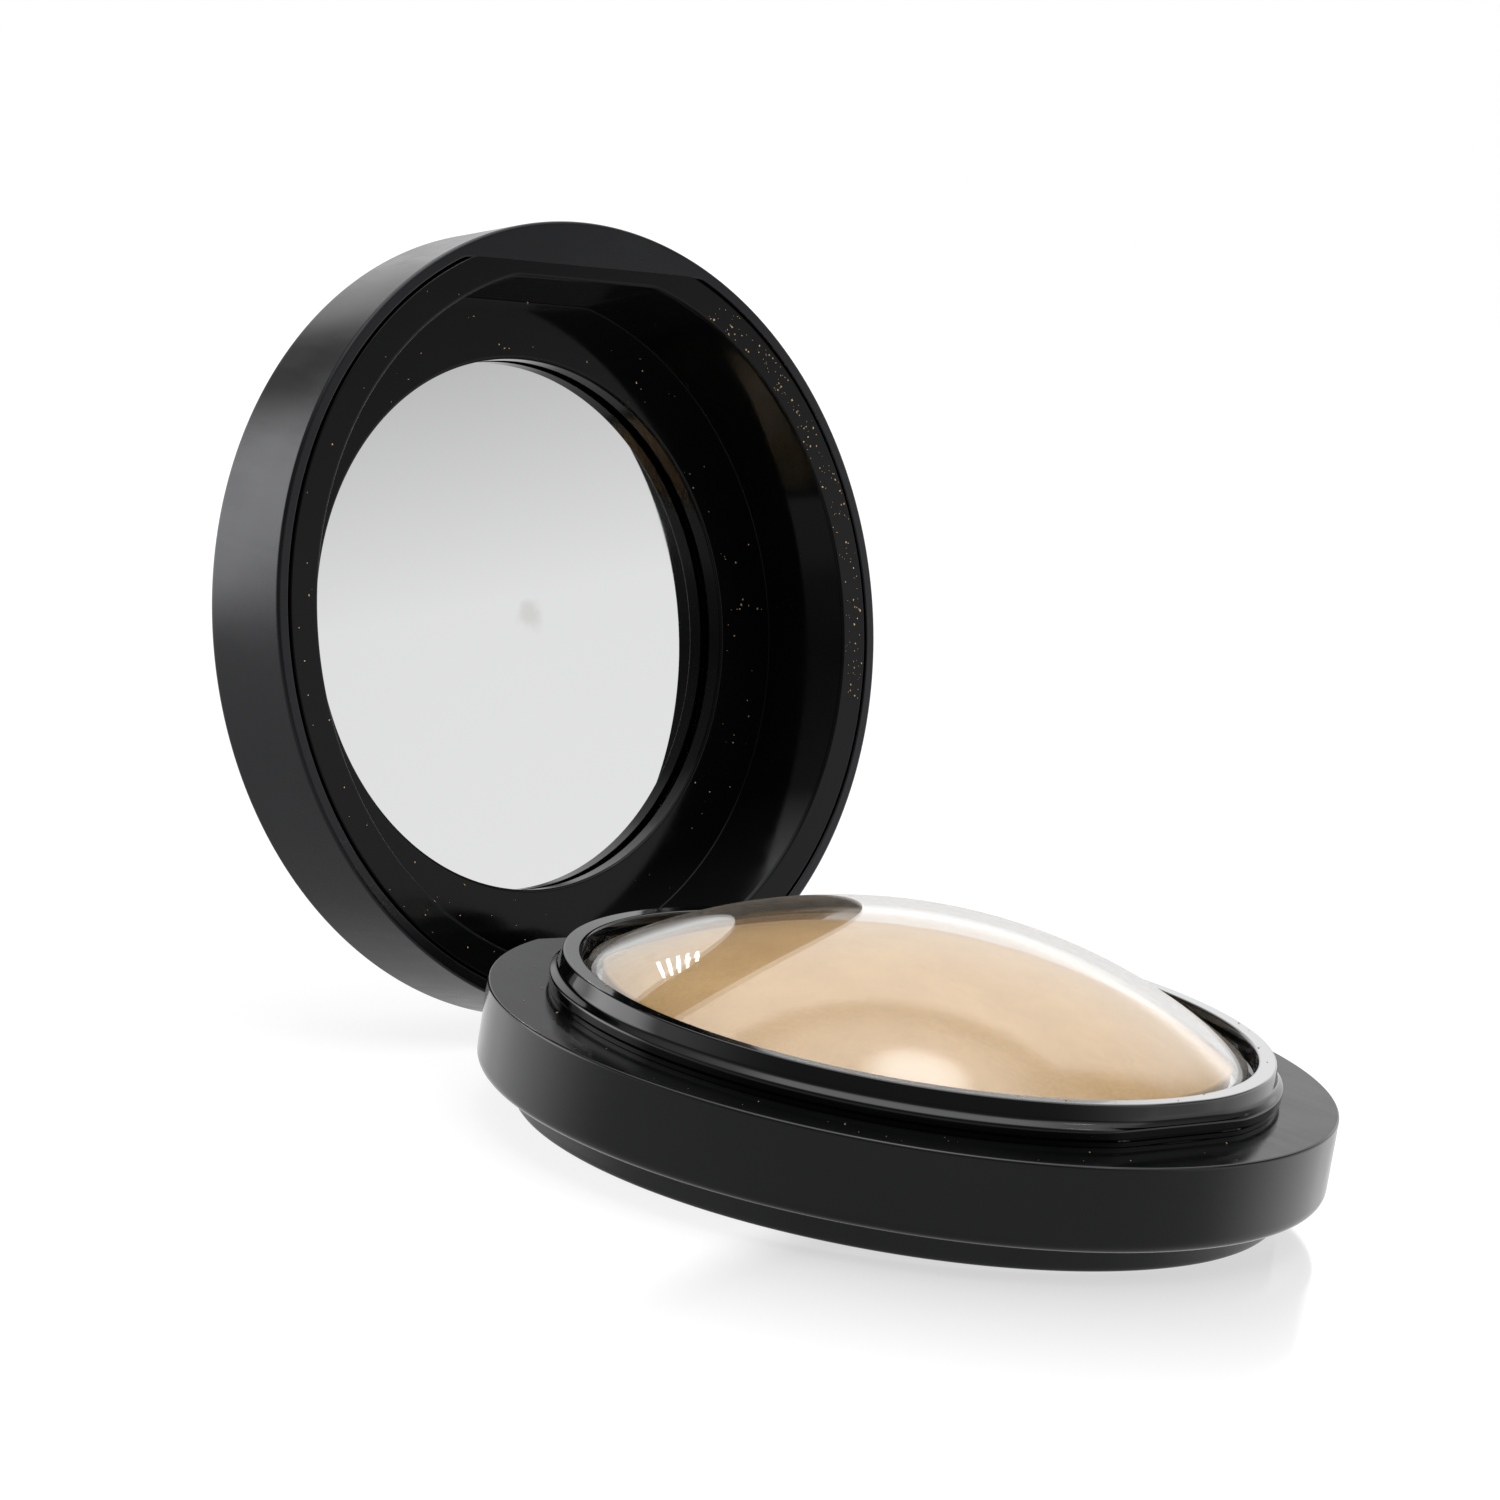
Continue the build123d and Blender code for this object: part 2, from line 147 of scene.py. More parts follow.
class CompactLidSizes(PropertyGroup):
    """Sizes of the lid casing, liner and mirror, with the lid shut."""
    rim_plane: length("Rim plane", "Height of the shut lid's rim", LINER_LOW[2])
    crown_top: length("Crown top", "Height of the shut lid's crown", LID_HIGH[2])
    casing_wall: length("Casing wall", "Thickness of the lid's outer wall", 1.25)
    rim_edge: length("Rim edge", "Rounding of the rim's outer edge", 0.3)
    groove_width: length("Groove", "Parting groove between casing and liner", 0.3)
    front_flat: length("Front flat", "Groove's front flat, in from the outside", 4.5)
    back_flat: length("Back flat", "Casing's back flat, in from the outside", 3.05)
    recess_radius: length("Recess radius", "Mouth of the lid's recess", COLLAR_HIGH[0] + 0.7)
    recess_draft: length("Recess draft", "How much the recess narrows to its floor", 0.9)
    recess_flat: length("Recess flat", "Recess's front flat, in from its round wall", 1.25)
    plate_thickness: length("Plate thickness", "Plate round the mirror", 1.8)
    opening_radius: length("Opening radius", "Opening in front of the mirror", MIRROR_HIGH[0] - 1.75)
    mirror_radius: length("Mirror radius", "Outside of the mirror", MIRROR_HIGH[0])
    silver_depth: length("Silver depth", "Mirror's silver behind the front of its glass", 0.7)
    shoulder_rise: length("Shoulder rise", "Rounded shoulder above the straight wall", 4.6)
    shoulder_slope: FloatProperty(name="Shoulder slope", description="Slope where shoulder meets wall",
                                  default=radians(42), subtype="ANGLE", unit="ROTATION")
    crown_slope: FloatProperty(name="Crown slope", description="Slope where shoulder meets crown",
                               default=radians(2), subtype="ANGLE", unit="ROTATION")
    tongue_half: length("Tongue width", "Half the width of the hinge tongue", 13.0)
    tongue_gap: length("Tongue gap", "Tongue to the case's back flat", 0.2)
    stop_gap: length("Stop gap", "Tongue's bevel to the back flat when open", 0.25)
    barrel_half: length("Barrel", "Half the length of the lid's knuckle", 8.3)


class CompactColours(PropertyGroup):
    """Colours of the mouldings, powder and small pieces."""
    case_black: colour("Case", "Moulded case", (0.0035, 0.004, 0.0038))
    collar_black: colour("Collar", "Moulded collar", (0.0015, 0.0018, 0.0018))
    foot_black: colour("Foot", "Moulded foot", (0.011, 0.012, 0.0118))
    lid_black: colour("Lid", "Satin lid casing", (0.0035, 0.0036, 0.0040))
    liner_black: colour("Liner", "Lid liner", (0.0020, 0.0026, 0.0022))
    powder_light: colour("Powder, light", "Lighter baked powder", (0.85, 0.56, 0.262))
    powder_dark: colour("Powder, dark", "Darker baked powder", (0.73, 0.465, 0.205))
    dust: colour("Dust", "Loose powder grains", (0.75, 0.52, 0.26))
    clear: colour("Cover", "Clear cover", (0.985, 0.985, 0.98))
    floor: colour("Floor", "Pale floor", (0.22, 0.22, 0.22))


class CompactStudio(PropertyGroup):
    """Camera, light tent and dust settings."""
    azimuth: FloatProperty(name="Azimuth", description="Camera's bearing round the compact",
                           default=radians(-44.6), subtype="ANGLE", unit="ROTATION")
    elevation: FloatProperty(name="Elevation", description="Camera's height above the ledge plane",
                             default=radians(9.8), subtype="ANGLE", unit="ROTATION")
    roll: FloatProperty(name="Roll", description="Camera's turn about its own axis",
                        default=radians(9.09), subtype="ANGLE", unit="ROTATION")
    distance: length("Distance", "Camera to the point it looks at", 400.1)
    aim: FloatVectorProperty(name="Aim", description="Point in the middle of the picture",
                             default=(-0.01084, 0.01642, 0.03430), size=3, subtype="XYZ", unit="LENGTH")
    lens: FloatProperty(name="Lens", description="Focal length in mm on a 36 mm sensor", default=103.08)
    tent_light: FloatProperty(name="Tent light", description="Brightness of the light tent", default=1.1)
    tube_power: FloatProperty(name="Tube power", description="Power of each lamp tube in watts",
                              default=0.014)
    dust_grains: IntProperty(name="Dust grains", description="Loose grains on the lid", default=330)


# ---- surfaces ----

def rounded(corners, steps=7):
    """Closed outline through corners (radius, height, rounding, front flat, back flat).

    Each rounded corner becomes a circular arc tangent to its two sides, with one holding point just
    outside each end. The last two columns say how far a flat cuts in from the round wall there.
    """
    table = np.array([tuple(c) + (0.0,) * (5 - len(c)) for c in corners], float)
    parts = []
    for before, here, after in zip(np.roll(table, 1, 0), table, np.roll(table, -1, 0)):
        rounding = here[2]
        if rounding == 0:
            parts.append(here[None, [0, 1, 3, 4]])
            continue
        to_before = (before[:2] - here[:2]) / np.linalg.norm(before[:2] - here[:2])
        to_after = (after[:2] - here[:2]) / np.linalg.norm(after[:2] - here[:2])
        half = 0.5 * np.arccos(np.clip(to_before @ to_after, -1, 1))
        middle = (to_before + to_after) / np.linalg.norm(to_before + to_after)
        centre = here[:2] + middle * rounding / sin(half)
        reach = rounding / tan(half)
        start, end = here[:2] + to_before * reach, here[:2] + to_after * reach
        first = atan2(*(start - centre)[::-1])
        sweep = (atan2(*(end - centre)[::-1]) - first + pi) % (2 * pi) - pi
        angle = first + sweep * np.linspace(0, 1, steps + 1)
        arc = centre + rounding * np.stack([np.cos(angle), np.sin(angle)], 1)
        hold = 0.35 * rounding
        arc = np.vstack([start + to_before * hold, arc, end + to_after * hold])
        parts.append(np.hstack([arc, np.tile(here[3:5], (len(arc), 1))]))
    return np.vstack(parts)


def with_flats(outline, soft=0.25, columns=540):
    """Outline carried round the Z axis, cut by flats at the front and back.

    At bearing t the radius is the outline's own, or the flat's distance divided by the sine of t,
    whichever is less; the two are blended over soft millimetres so that the corners are rounded.
    """
    t = np.arange(columns) * 2 * pi / columns
    radius, height = outline[:, 0:1], outline[:, 1:2]
    result = np.repeat(radius, columns, 1)
    for cut, facing in ((outline[:, 2:3], -np.sin(t)), (outline[:, 3:4], np.sin(t))):
        limit = (radius - cut) / np.maximum(facing, 0.2)
        blended = 0.5 * (result + limit - np.sqrt((result - limit) ** 2 + soft ** 2))
        result = np.where((cut > 0) & (facing > 0.2), blended, result)
    return np.stack([result * np.cos(t), result * np.sin(t), np.repeat(height, columns, 1)], -1)


def turned(outline, columns=480):
    """Outline of (radius, height) points carried round the Z axis."""
    t = np.arange(columns) * 2 * pi / columns
    radius, height = outline[:, 0:1], outline[:, 1:2]
    return np.stack([radius * np.cos(t), radius * np.sin(t), np.repeat(height, columns, 1)], -1)


def cap_sphere(radius, rise):
    """Radius of the sphere whose cap is that wide and that high."""
    return (radius ** 2 + rise ** 2) / (2 * rise)


def cap_arc(sphere, centre_height, radius, count):
    """Arc of a sphere's outline from the axis out to a radius: height is the centre's plus the
    cosine of the angle times the sphere, radius its sine."""
    angle = np.linspace(0, np.arcsin(radius / sphere), count)
    return np.stack([sphere * np.sin(angle), centre_height + sphere * np.cos(angle)], 1)


def lattice_noise(x, y, cell, seed):
    """Smooth noise from -1 to 1: random values on a square lattice of that cell, eased between."""
    values = np.random.default_rng(seed).uniform(-1, 1, (64, 64))
    u, v = x / cell + 32.0, y / cell + 32.0
    i, j = np.floor(u).astype(int), np.floor(v).astype(int)
    s, t = u - i, v - j
    s, t = s * s * (3 - 2 * s), t * t * (3 - 2 * t)
    i0, i1, j0, j1 = i % 64, (i + 1) % 64, j % 64, (j + 1) % 64
    low = values[i0, j0] * (1 - s) + values[i1, j0] * s
    high = values[i0, j1] * (1 - s) + values[i1, j1] * s
    return low * (1 - t) + high * t


def grid_faces(rows, columns, loop, start=0):
    """Quads between neighbouring points of a grid that is closed round its columns."""
    i = np.arange(rows if loop else rows - 1)[:, None]
    j = np.arange(columns)[None, :]
    below, beside = (i + 1) % rows, (j + 1) % columns
    corners = [i * columns + j, i * columns + beside, below * columns + beside, below * columns + j]
    return start + np.stack(corners, -1).reshape(-1, 4)


def end_faces(rows, columns, start=0):
    """The two flat ends of a grid whose rows are closed loops: first row and last row."""
    first = start + np.arange(columns)
    return [first.tolist(), (first + (rows - 1) * columns).tolist()]


def put_in_scene(name, data):
    """New object with that data, linked to the scene."""
    thing = bpy.data.objects.new(name, data)
    bpy.context.scene.collection.objects.link(thing)
    return thing


def make_piece(name, points, faces, body, slot, replaces=(), sharp=32.0, finish=None):
    """Mesh object from points in millimetres: doubles merged, faces turned outwards, smooth shaded
    except across edges sharper than the given angle; then it rides on its body."""
    mesh = bpy.data.meshes.new(name)
    mesh.from_pydata((points.reshape(-1, 3) * MM).tolist(), [], faces)
    work = bmesh.new()
    work.from_mesh(mesh)
    bmesh.ops.remove_doubles(work, verts=work.verts, dist=1e-7)
    bmesh.ops.dissolve_degenerate(work, edges=work.edges, dist=1e-8)
    bmesh.ops.recalc_face_normals(work, faces=work.faces)
    work.to_mesh(mesh)
    work.free()
    mesh.polygons.foreach_set("use_smooth", np.ones(len(mesh.polygons), bool))
    mesh.set_sharp_from_angle(angle=radians(sharp))
    piece = put_in_scene(name, mesh)
    mesh.materials.append(finish or finish_of(slot))
    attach(piece, body)
    if replaces:
        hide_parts(*replaces)
    return piece


def make_loop(name, grid, *rest, **settings):
    """Piece from a grid whose outline is closed on itself."""
    return make_piece(name, grid, grid_faces(grid.shape[0], grid.shape[1], True).tolist(),
                      *rest, **settings)


def make_capped(name, grid, *rest, **settings):
    """Piece from a grid whose outline starts and ends on the axis."""
    return make_piece(name, grid, grid_faces(grid.shape[0], grid.shape[1], False).tolist(),
                      *rest, **settings)


def join_grids(grids):
    """Several end-capped grids as one set of points and faces."""
    points, faces, start = [], [], 0
    for grid in grids:
        rows, columns = grid.shape[:2]
        points.append(grid.reshape(-1, 3))
        faces += grid_faces(rows, columns, False, start).tolist() + end_faces(rows, columns, start)
        start += rows * columns
    return np.vstack(points), faces


def bar_along_x(radius, start, end, edge, columns=72):
    """Round bar on the hinge axis: circles of the outline's radius, with rounded ends."""
    outline = rounded([(AXIS, start, 0), (radius, start, edge), (radius, end, edge), (AXIS, end, 0)], 5)
    around = turned(outline, columns)
    return np.stack([around[..., 2], PIVOT[1] + around[..., 0], PIVOT[2] + around[..., 1]], -1)


# ---- materials ----

def new_material(name):
    """Empty node material, with its tree, its Principled shader and its Object coordinates."""
    material = bpy.data.materials.new(name)
    material.use_nodes = True
    tree = material.node_tree
    shader = tree.nodes["Principled BSDF"]
    place = tree.nodes.new("ShaderNodeTexCoord").outputs["Object"]
    return material, tree, shader, place


def noise(tree, place, scale, detail=3.0, roughness=0.5, stretch=None):
    """Noise texture in object space; scale is in cells per metre."""
    if stretch:
        mapping = tree.nodes.new("ShaderNodeMapping")
        mapping.inputs["Scale"].default_value = stretch
        tree.links.new(place, mapping.inputs["Vector"])
        place = mapping.outputs["Vector"]
    node = tree.nodes.new("ShaderNodeTexNoise")
    node.inputs["Scale"].default_value = scale
    node.inputs["Detail"].default_value = detail
    node.inputs["Roughness"].default_value = roughness
    tree.links.new(place, node.inputs["Vector"])
    return node.outputs["Fac"]


def remap(tree, value, from_low, from_high, to_low, to_high, smooth=False):
    """Value mapped from one range to another, held at the ends."""
    node = tree.nodes.new("ShaderNodeMapRange")
    node.interpolation_type = "SMOOTHSTEP" if smooth else "LINEAR"
    for socket, number in zip(("From Min", "From Max", "To Min", "To Max"),
                              (from_low, from_high, to_low, to_high)):
        node.inputs[socket].default_value = number
    tree.links.new(value, node.inputs["Value"])
    return node.outputs["Result"]


def plug(tree, socket, value):
    """Give an input its value: a number as it is, another node's output as a link."""
    if isinstance(value, (int, float)):
        socket.default_value = value
    else:
        tree.links.new(value, socket)


def combine(tree, operation, first, second):
    """Maths node on two values, each a socket or a number."""
    node = tree.nodes.new("ShaderNodeMath")
    node.operation = operation
    node.inputs[2].default_value = 0.5
    plug(tree, node.inputs[0], first)
    plug(tree, node.inputs[1], second)
    return node.outputs["Value"]


def vector_maths(tree, operation, vector, fixed=None):
    """Vector maths node on a socket and, where it takes one, a fixed vector."""
    node = tree.nodes.new("ShaderNodeVectorMath")
    node.operation = operation
    tree.links.new(vector, node.inputs[0])
    if fixed is not None:
        node.inputs[1].default_value = fixed
    return node


def dot_with(tree, direction, axis):
    """Cosine of the angle between a direction socket and a fixed axis."""
    return vector_maths(tree, "DOT_PRODUCT", direction, axis).outputs["Value"]


def between(tree, share, first, second):
    """Value between two others."""
    node = tree.nodes.new("ShaderNodeMix")
    node.data_type = "FLOAT"
    tree.links.new(share, node.inputs["Factor"])
    plug(tree, node.inputs["A"], first)
    plug(tree, node.inputs["B"], second)
    return node.outputs["Result"]


def blend_colours(tree, factor, first, second):
    """Colour between two plain colours."""
    node = tree.nodes.new("ShaderNodeMix")
    node.data_type = "RGBA"
    node.inputs["A"].default_value = (*first, 1)
    node.inputs["B"].default_value = (*second, 1)
    tree.links.new(factor, node.inputs["Factor"])
    return node.outputs["Result"]


def bump(tree, shader, height, distance, strength=1.0):
    """Fine relief of that depth in metres on the shader's normal."""
    node = tree.nodes.new("ShaderNodeBump")
    node.inputs["Distance"].default_value = distance
    node.inputs["Strength"].default_value = strength
    tree.links.new(height, node.inputs["Height"])
    tree.links.new(node.outputs["Normal"], shader.inputs["Normal"])


def moulded(name, tint, smooth, rough, specular, grain=0.0000015):
    """Black moulded plastic: handling smears and hairline scratches vary its roughness, and a faint
    moulding texture its relief."""
    material, tree, shader, place = new_material(name)
    smear = noise(tree, place, 55, 4.0, 0.6)
    hair = noise(tree, place, 900, 2.0, 0.5, (1.0, 0.06, 1.0))
    marks = combine(tree, "ADD", combine(tree, "MULTIPLY", smear, 0.75),
                    combine(tree, "MULTIPLY", hair, 0.25))
    tree.links.new(remap(tree, marks, 0.35, 0.68, smooth, rough), shader.inputs["Roughness"])
    shade = tuple(1.5 * channel for channel in tint)
    tree.links.new(blend_colours(tree, remap(tree, smear, 0.4, 0.7, 0, 1), tint, shade),
                   shader.inputs["Base Color"])
    shader.inputs["Specular IOR Level"].default_value = specular
    shader.inputs["IOR"].default_value = 1.5
    bump(tree, shader, noise(tree, place, 2600, 3.0, 0.55), grain)
    return material


def opened(material):
    """A material's tree, its Principled shader and the separate values of its Object coordinates."""
    tree = material.node_tree
    split = tree.nodes.new("ShaderNodeSeparateXYZ")
    tree.links.new(tree.nodes["Texture Coordinate"].outputs["Object"], split.inputs["Vector"])
    return tree, tree.nodes["Principled BSDF"], split.outputs


def case_black():
    """Case moulding: polished wall, satin ledge."""
    material = moulded("case_black", bpy.context.scene.compact_colours.case_black, 0.09, 0.2, 0.45)
    tree, shader, axes = opened(material)
    ledge = bpy.context.scene.compact_base.ledge_height
    on_ledge = remap(tree, axes["Z"], ledge - 2e-5, ledge - 5e-6, 0, 1)
    tree.links.new(remap(tree, on_ledge, 0, 1, 0.45, 0.06), shader.inputs["Specular IOR Level"])
    return material


def collar_black():
    """High-gloss collar moulding, its rim coated, less so towards the left."""
    tint = bpy.context.scene.compact_colours.collar_black
    material = moulded("collar_black", tint, 0.03, 0.1, 0.5, 5e-7)
    tree, shader, axes = opened(material)
    rim = bpy.context.scene.compact_base.rim_height
    on_rim = remap(tree, axes["Z"], rim - 2.5e-4, rim - 5e-5, 0, 1)
    kept = remap(tree, axes["X"], -0.022, 0.004, 0.05, 1, True)
    tree.links.new(combine(tree, "MULTIPLY", on_rim, kept), shader.inputs["Coat Weight"])
    shader.inputs["Coat IOR"].default_value = 1.7
    shader.inputs["Coat Roughness"].default_value = 0.12
    return material


def foot_black():
    """Satin foot moulding."""
    return moulded("foot_black", bpy.context.scene.compact_colours.foot_black, 0.3, 0.42, 0.4, 4e-6)


def lid_black():
    """Satin lid casing, its gloss given a painted faint blue tint that stands in for a bluish lamp."""
    material = moulded("lid_black", bpy.context.scene.compact_colours.lid_black, 0.2, 0.32, 0.45, 3e-6)
    shader = material.node_tree.nodes["Principled BSDF"]
    # painted light colour: the faint blue specular tint stands in for a bluish softbox, not for the plastic
    shader.inputs["Specular Tint"].default_value = (0.93, 0.94, 1.0, 1)
    return material


def liner_black():
    """Glossy lid liner."""
    return moulded("liner_black", bpy.context.scene.compact_colours.liner_black, 0.06, 0.16, 0.2, 8e-7)


def powder():
    """Baked powder: slow mottling between two shades, fine speckle and a granular relief."""
    colours = bpy.context.scene.compact_colours
    material, tree, shader, place = new_material("powder")
    mottle = noise(tree, place, 160, 5.0, 0.65)
    speckle = noise(tree, place, 2900, 3.0, 0.7)
    mixed = combine(tree, "ADD", combine(tree, "MULTIPLY", mottle, 0.5),
                    combine(tree, "MULTIPLY", speckle, 0.5))
    shade = blend_colours(tree, remap(tree, mixed, 0.4, 0.6, 0, 1), colours.powder_dark,
                          colours.powder_light)
    tree.links.new(shade, shader.inputs["Base Color"])
    shader.inputs["Roughness"].default_value = 0.85
    shader.inputs["Specular IOR Level"].default_value = 0.2
    shader.inputs["Sheen Weight"].default_value = 0.15
    shader.inputs["Sheen Roughness"].default_value = 0.5
    bump(tree, shader, speckle, 2.5e-5, 0.6)
    return material


def clear_cover():
    """Clear plastic with faint handling marks; lamps shine straight through it."""
    material, tree, shader, place = new_material("clear_cover")
    shader.inputs["Base Color"].default_value = (*bpy.context.scene.compact_colours.clear, 1)
    shader.inputs["Transmission Weight"].default_value = 1.0
    shader.inputs["IOR"].default_value = 1.49
    marks = noise(tree, place, 90, 4.0, 0.6)
    tree.links.new(remap(tree, marks, 0.5, 0.8, 0.0, 0.02), shader.inputs["Roughness"])
    # a film of powder dust, thicker where the surface is seen edge on
    film = tree.nodes.new("ShaderNodeBsdfDiffuse")
    film.inputs["Color"].default_value = (0.62, 0.54, 0.45, 1)
    slant = tree.nodes.new("ShaderNodeLayerWeight").outputs["Facing"]
    fine = noise(tree, place, 1400, 3.0, 0.7)
    amount = combine(tree, "MULTIPLY", remap(tree, slant, 0.6, 1.0, 0.012, 0.25, True),
                     remap(tree, fine, 0.35, 0.7, 0.5, 1.1))
    dusty = tree.nodes.new("ShaderNodeMixShader")
    tree.links.new(amount, dusty.inputs["Fac"])
    tree.links.new(shader.outputs["BSDF"], dusty.inputs[1])
    tree.links.new(film.outputs["BSDF"], dusty.inputs[2])
    through = tree.nodes.new("ShaderNodeBsdfTransparent")
    path = tree.nodes.new("ShaderNodeLightPath")
    mix = tree.nodes.new("ShaderNodeMixShader")
    tree.links.new(path.outputs["Is Shadow Ray"], mix.inputs["Fac"])
    tree.links.new(dusty.outputs["Shader"], mix.inputs[1])
    tree.links.new(through.outputs["BSDF"], mix.inputs[2])
    tree.links.new(mix.outputs["Shader"], tree.nodes["Material Output"].inputs["Surface"])
    return material


def mirror_glass():
    """Silvered mirror with a faint wiped haze."""
    material, tree, shader, place = new_material("mirror_glass")
    shader.inputs["Base Color"].default_value = (0.93, 0.94, 0.935, 1)
    shader.inputs["Metallic"].default_value = 1.0
    haze = noise(tree, place, 60, 3.0, 0.5, (1.0, 1.0, 0.4))
    tree.links.new(remap(tree, haze, 0.5, 0.75, 0.0, 0.05, True), shader.inputs["Roughness"])
    # one faint fingertip mark
    away = vector_maths(tree, "DISTANCE", place, SMUDGE)
    ragged = combine(tree, "ADD", away.outputs["Value"],
                     remap(tree, noise(tree, place, 500, 3.0, 0.6), 0, 1, -0.0012, 0.0012))
    mark = remap(tree, ragged, 0.0004, 0.0022, 1, 0, True)
    tree.links.new(blend_colours(tree, mark, (0.93, 0.94, 0.935), (0.80, 0.80, 0.78)),
                   shader.inputs["Base Color"])
    return material


def drawn_metal(name, tint, scale, stretch, smooth, rough):
    """Bare metal whose roughness varies along fine drawing lines."""
    material, tree, shader, place = new_material(name)
    shader.inputs["Base Color"].default_value = (*tint, 1)
    shader.inputs["Metallic"].default_value = 1.0
    lines = noise(tree, place, scale, 2.0, 0.5, stretch)
    tree.links.new(remap(tree, lines, 0.3, 0.7, smooth, rough), shader.inputs["Roughness"])
    return material, tree, shader, lines


def pan_aluminium():
    """Pressed aluminium pan with fine drawing lines."""
    material, tree, shader, lines = drawn_metal("pan_aluminium", (0.78, 0.78, 0.79), 1500,
                                                (1.0, 1.0, 0.1), 0.22, 0.42)
    bump(tree, shader, lines, 2e-6)
    return material


def pin_steel():
    """Drawn steel pin."""
    return drawn_metal("pin_steel", (0.55, 0.55, 0.56), 4000, (0.05, 1.0, 1.0), 0.18, 0.38)[0]


def mottled(name, texture, first, second, rough, relief):
    """Matt surface between two shades with a relief to match; texture is its noise's settings."""
    material, tree, shader, place = new_material(name)
    cells = noise(tree, place, *texture)
    tree.links.new(blend_colours(tree, cells, first, second), shader.inputs["Base Color"])
    shader.inputs["Roughness"].default_value = rough
    bump(tree, shader, cells, relief)
    return material


def label_paper():
    """Blank coated paper with visible fibres."""
    return mottled("label_paper", (700, 5.0, 0.7, (1.0, 0.5, 1.0)), (0.50, 0.50, 0.48),
                   (0.64, 0.64, 0.62), 0.6, 1e-5)


def adhesive():
    """Milky double-sided adhesive."""
    return mottled("adhesive", (900, 3.0, 0.6), (0.66, 0.65, 0.60), (0.78, 0.77, 0.72), 0.7, 1.5e-5)


def dust_grains():
    """Loose golden powder grains, each a little lighter or darker."""
    material, tree, shader, place = new_material("loose_powder")
    tint = bpy.context.scene.compact_colours.dust
    pale = tuple(min(1.0, 1.25 * channel + 0.05) for channel in tint)
    tree.links.new(blend_colours(tree, noise(tree, place, 300, 2.0), tint, pale),
                   shader.inputs["Base Color"])
    shader.inputs["Roughness"].default_value = 0.55
    return material


MATERIALS = {make.__name__: make for make in (
    case_black, collar_black, foot_black, lid_black, liner_black, powder, clear_cover,
    mirror_glass, pan_aluminium, pin_steel, label_paper, adhesive)}

MADE = {}   # materials made so far, by slot


def finish_of(slot):
    """The slot's material, made the first time it is asked for."""
    if slot not in MADE:
        MADE[slot] = MATERIALS[slot]()
    return MADE[slot]


# ---- pieces ----

LID_CORNER = 0.12                       # blend at the corners of the lid's flats, in millimetres
CASE_COLUMNS = 460                      # columns round the case outside its back flat
SIDE_COLUMNS, POCKET_COLUMNS = 16, 36   # columns on the flat beside the knuckle pocket and in it

def case_grid(s):
    """The case's outline carried round, with the back flat and the knuckle pocket.

    Bearings run round the circle outside the flat. Across the flat the outer rings keep to even
    places along X, their depth is the flat's, and inside the pocket it is the lesser of the flat and
    the pocket's cylinder: hinge axis less the root of radius squared less height squared.
    """
    radius, top, bottom = s.case_radius / MM, s.ledge_height / MM, s.case_bottom / MM
    lip, wall, roof, floor = s.lip_radius / MM, 1.6, top - 1.5, bottom + 1.2
    flat_band, flat_wall, wall_band = 1.25, 2.73, 0.6
    flat_y = radius - s.flat_setback / MM
    pocket, pocket_half = s.pocket_radius / MM, s.pocket_half / MM
    bore = s.bead_radius / MM - 0.75
    outer = rounded([(bore, top, 0), (radius, top, s.ledge_edge / MM), (radius, bottom, s.lower_edge / MM),
                     (lip, bottom, 0.1), (lip, floor, 0.2), (radius - wall, floor, 0.5),
                     (radius - wall, roof, 0.5), (bore, roof, 0)])
    # extra rings down the straight wall, so that the pocket's cylinder is smooth
    on_wall = np.abs(outer[:, 0] - radius) < 1e-6
    upper = np.flatnonzero(on_wall)[0]
    lower = upper + np.flatnonzero(~on_wall[upper:])[0]
    heights = np.linspace(outer[upper, 1], outer[lower - 1, 1], 60)
    wall_rings = np.tile(outer[upper], (len(heights), 1))
    wall_rings[:, 1] = heights
    outline = np.vstack([outer[:upper], wall_rings, outer[lower:]])
    r, z = outline[:, 0:1], outline[:, 1:2]
    half = sqrt(radius ** 2 - flat_y ** 2)
    corner = atan2(flat_y, half)
    round_bearings = np.linspace(corner, -pi - corner, CASE_COLUMNS)
    ring = np.stack([r * np.cos(round_bearings), r * np.sin(round_bearings),
                     np.repeat(z, len(round_bearings), 1)], -1)
    x = np.concatenate([np.linspace(-half, -pocket_half, SIDE_COLUMNS),
                        np.linspace(-pocket_half, pocket_half, POCKET_COLUMNS),
                        np.linspace(pocket_half, half, SIDE_COLUMNS)])
    in_pocket = np.zeros(len(x), bool)
    in_pocket[SIDE_COLUMNS:SIDE_COLUMNS + POCKET_COLUMNS] = True
    is_outer = (r > radius - flat_band) & (z >= bottom - 1e-6)
    is_outer &= ~((np.abs(r - (radius - wall)) < wall_band) & (z > bottom + 1.0) & (z < top - 1.0))
    bearing = np.arctan2(flat_y, x)
    depth = np.minimum(np.sqrt(np.maximum(r ** 2 - x ** 2, 0)), flat_y - (radius - r))
    trough = PIVOT[1] - np.sqrt(np.maximum(pocket ** 2 - (z - PIVOT[2]) ** 2, 0))
    inside_trough = in_pocket[None, :] & (np.abs(z - PIVOT[2]) < pocket)
    depth = np.where(inside_trough, np.minimum(depth, trough), depth)
    behind_flat = (flat_y - flat_wall) / np.sin(bearing)
    inner = np.minimum(r, np.where(r > radius - wall - wall_band, behind_flat, r))
    across = np.stack([np.where(is_outer, x[None, :], inner * np.cos(bearing)),
                       np.where(is_outer, depth, inner * np.sin(bearing)),
                       np.repeat(z, len(x), 1)], -1)
    return np.concatenate([ring, across[:, 1:-1]], 1)


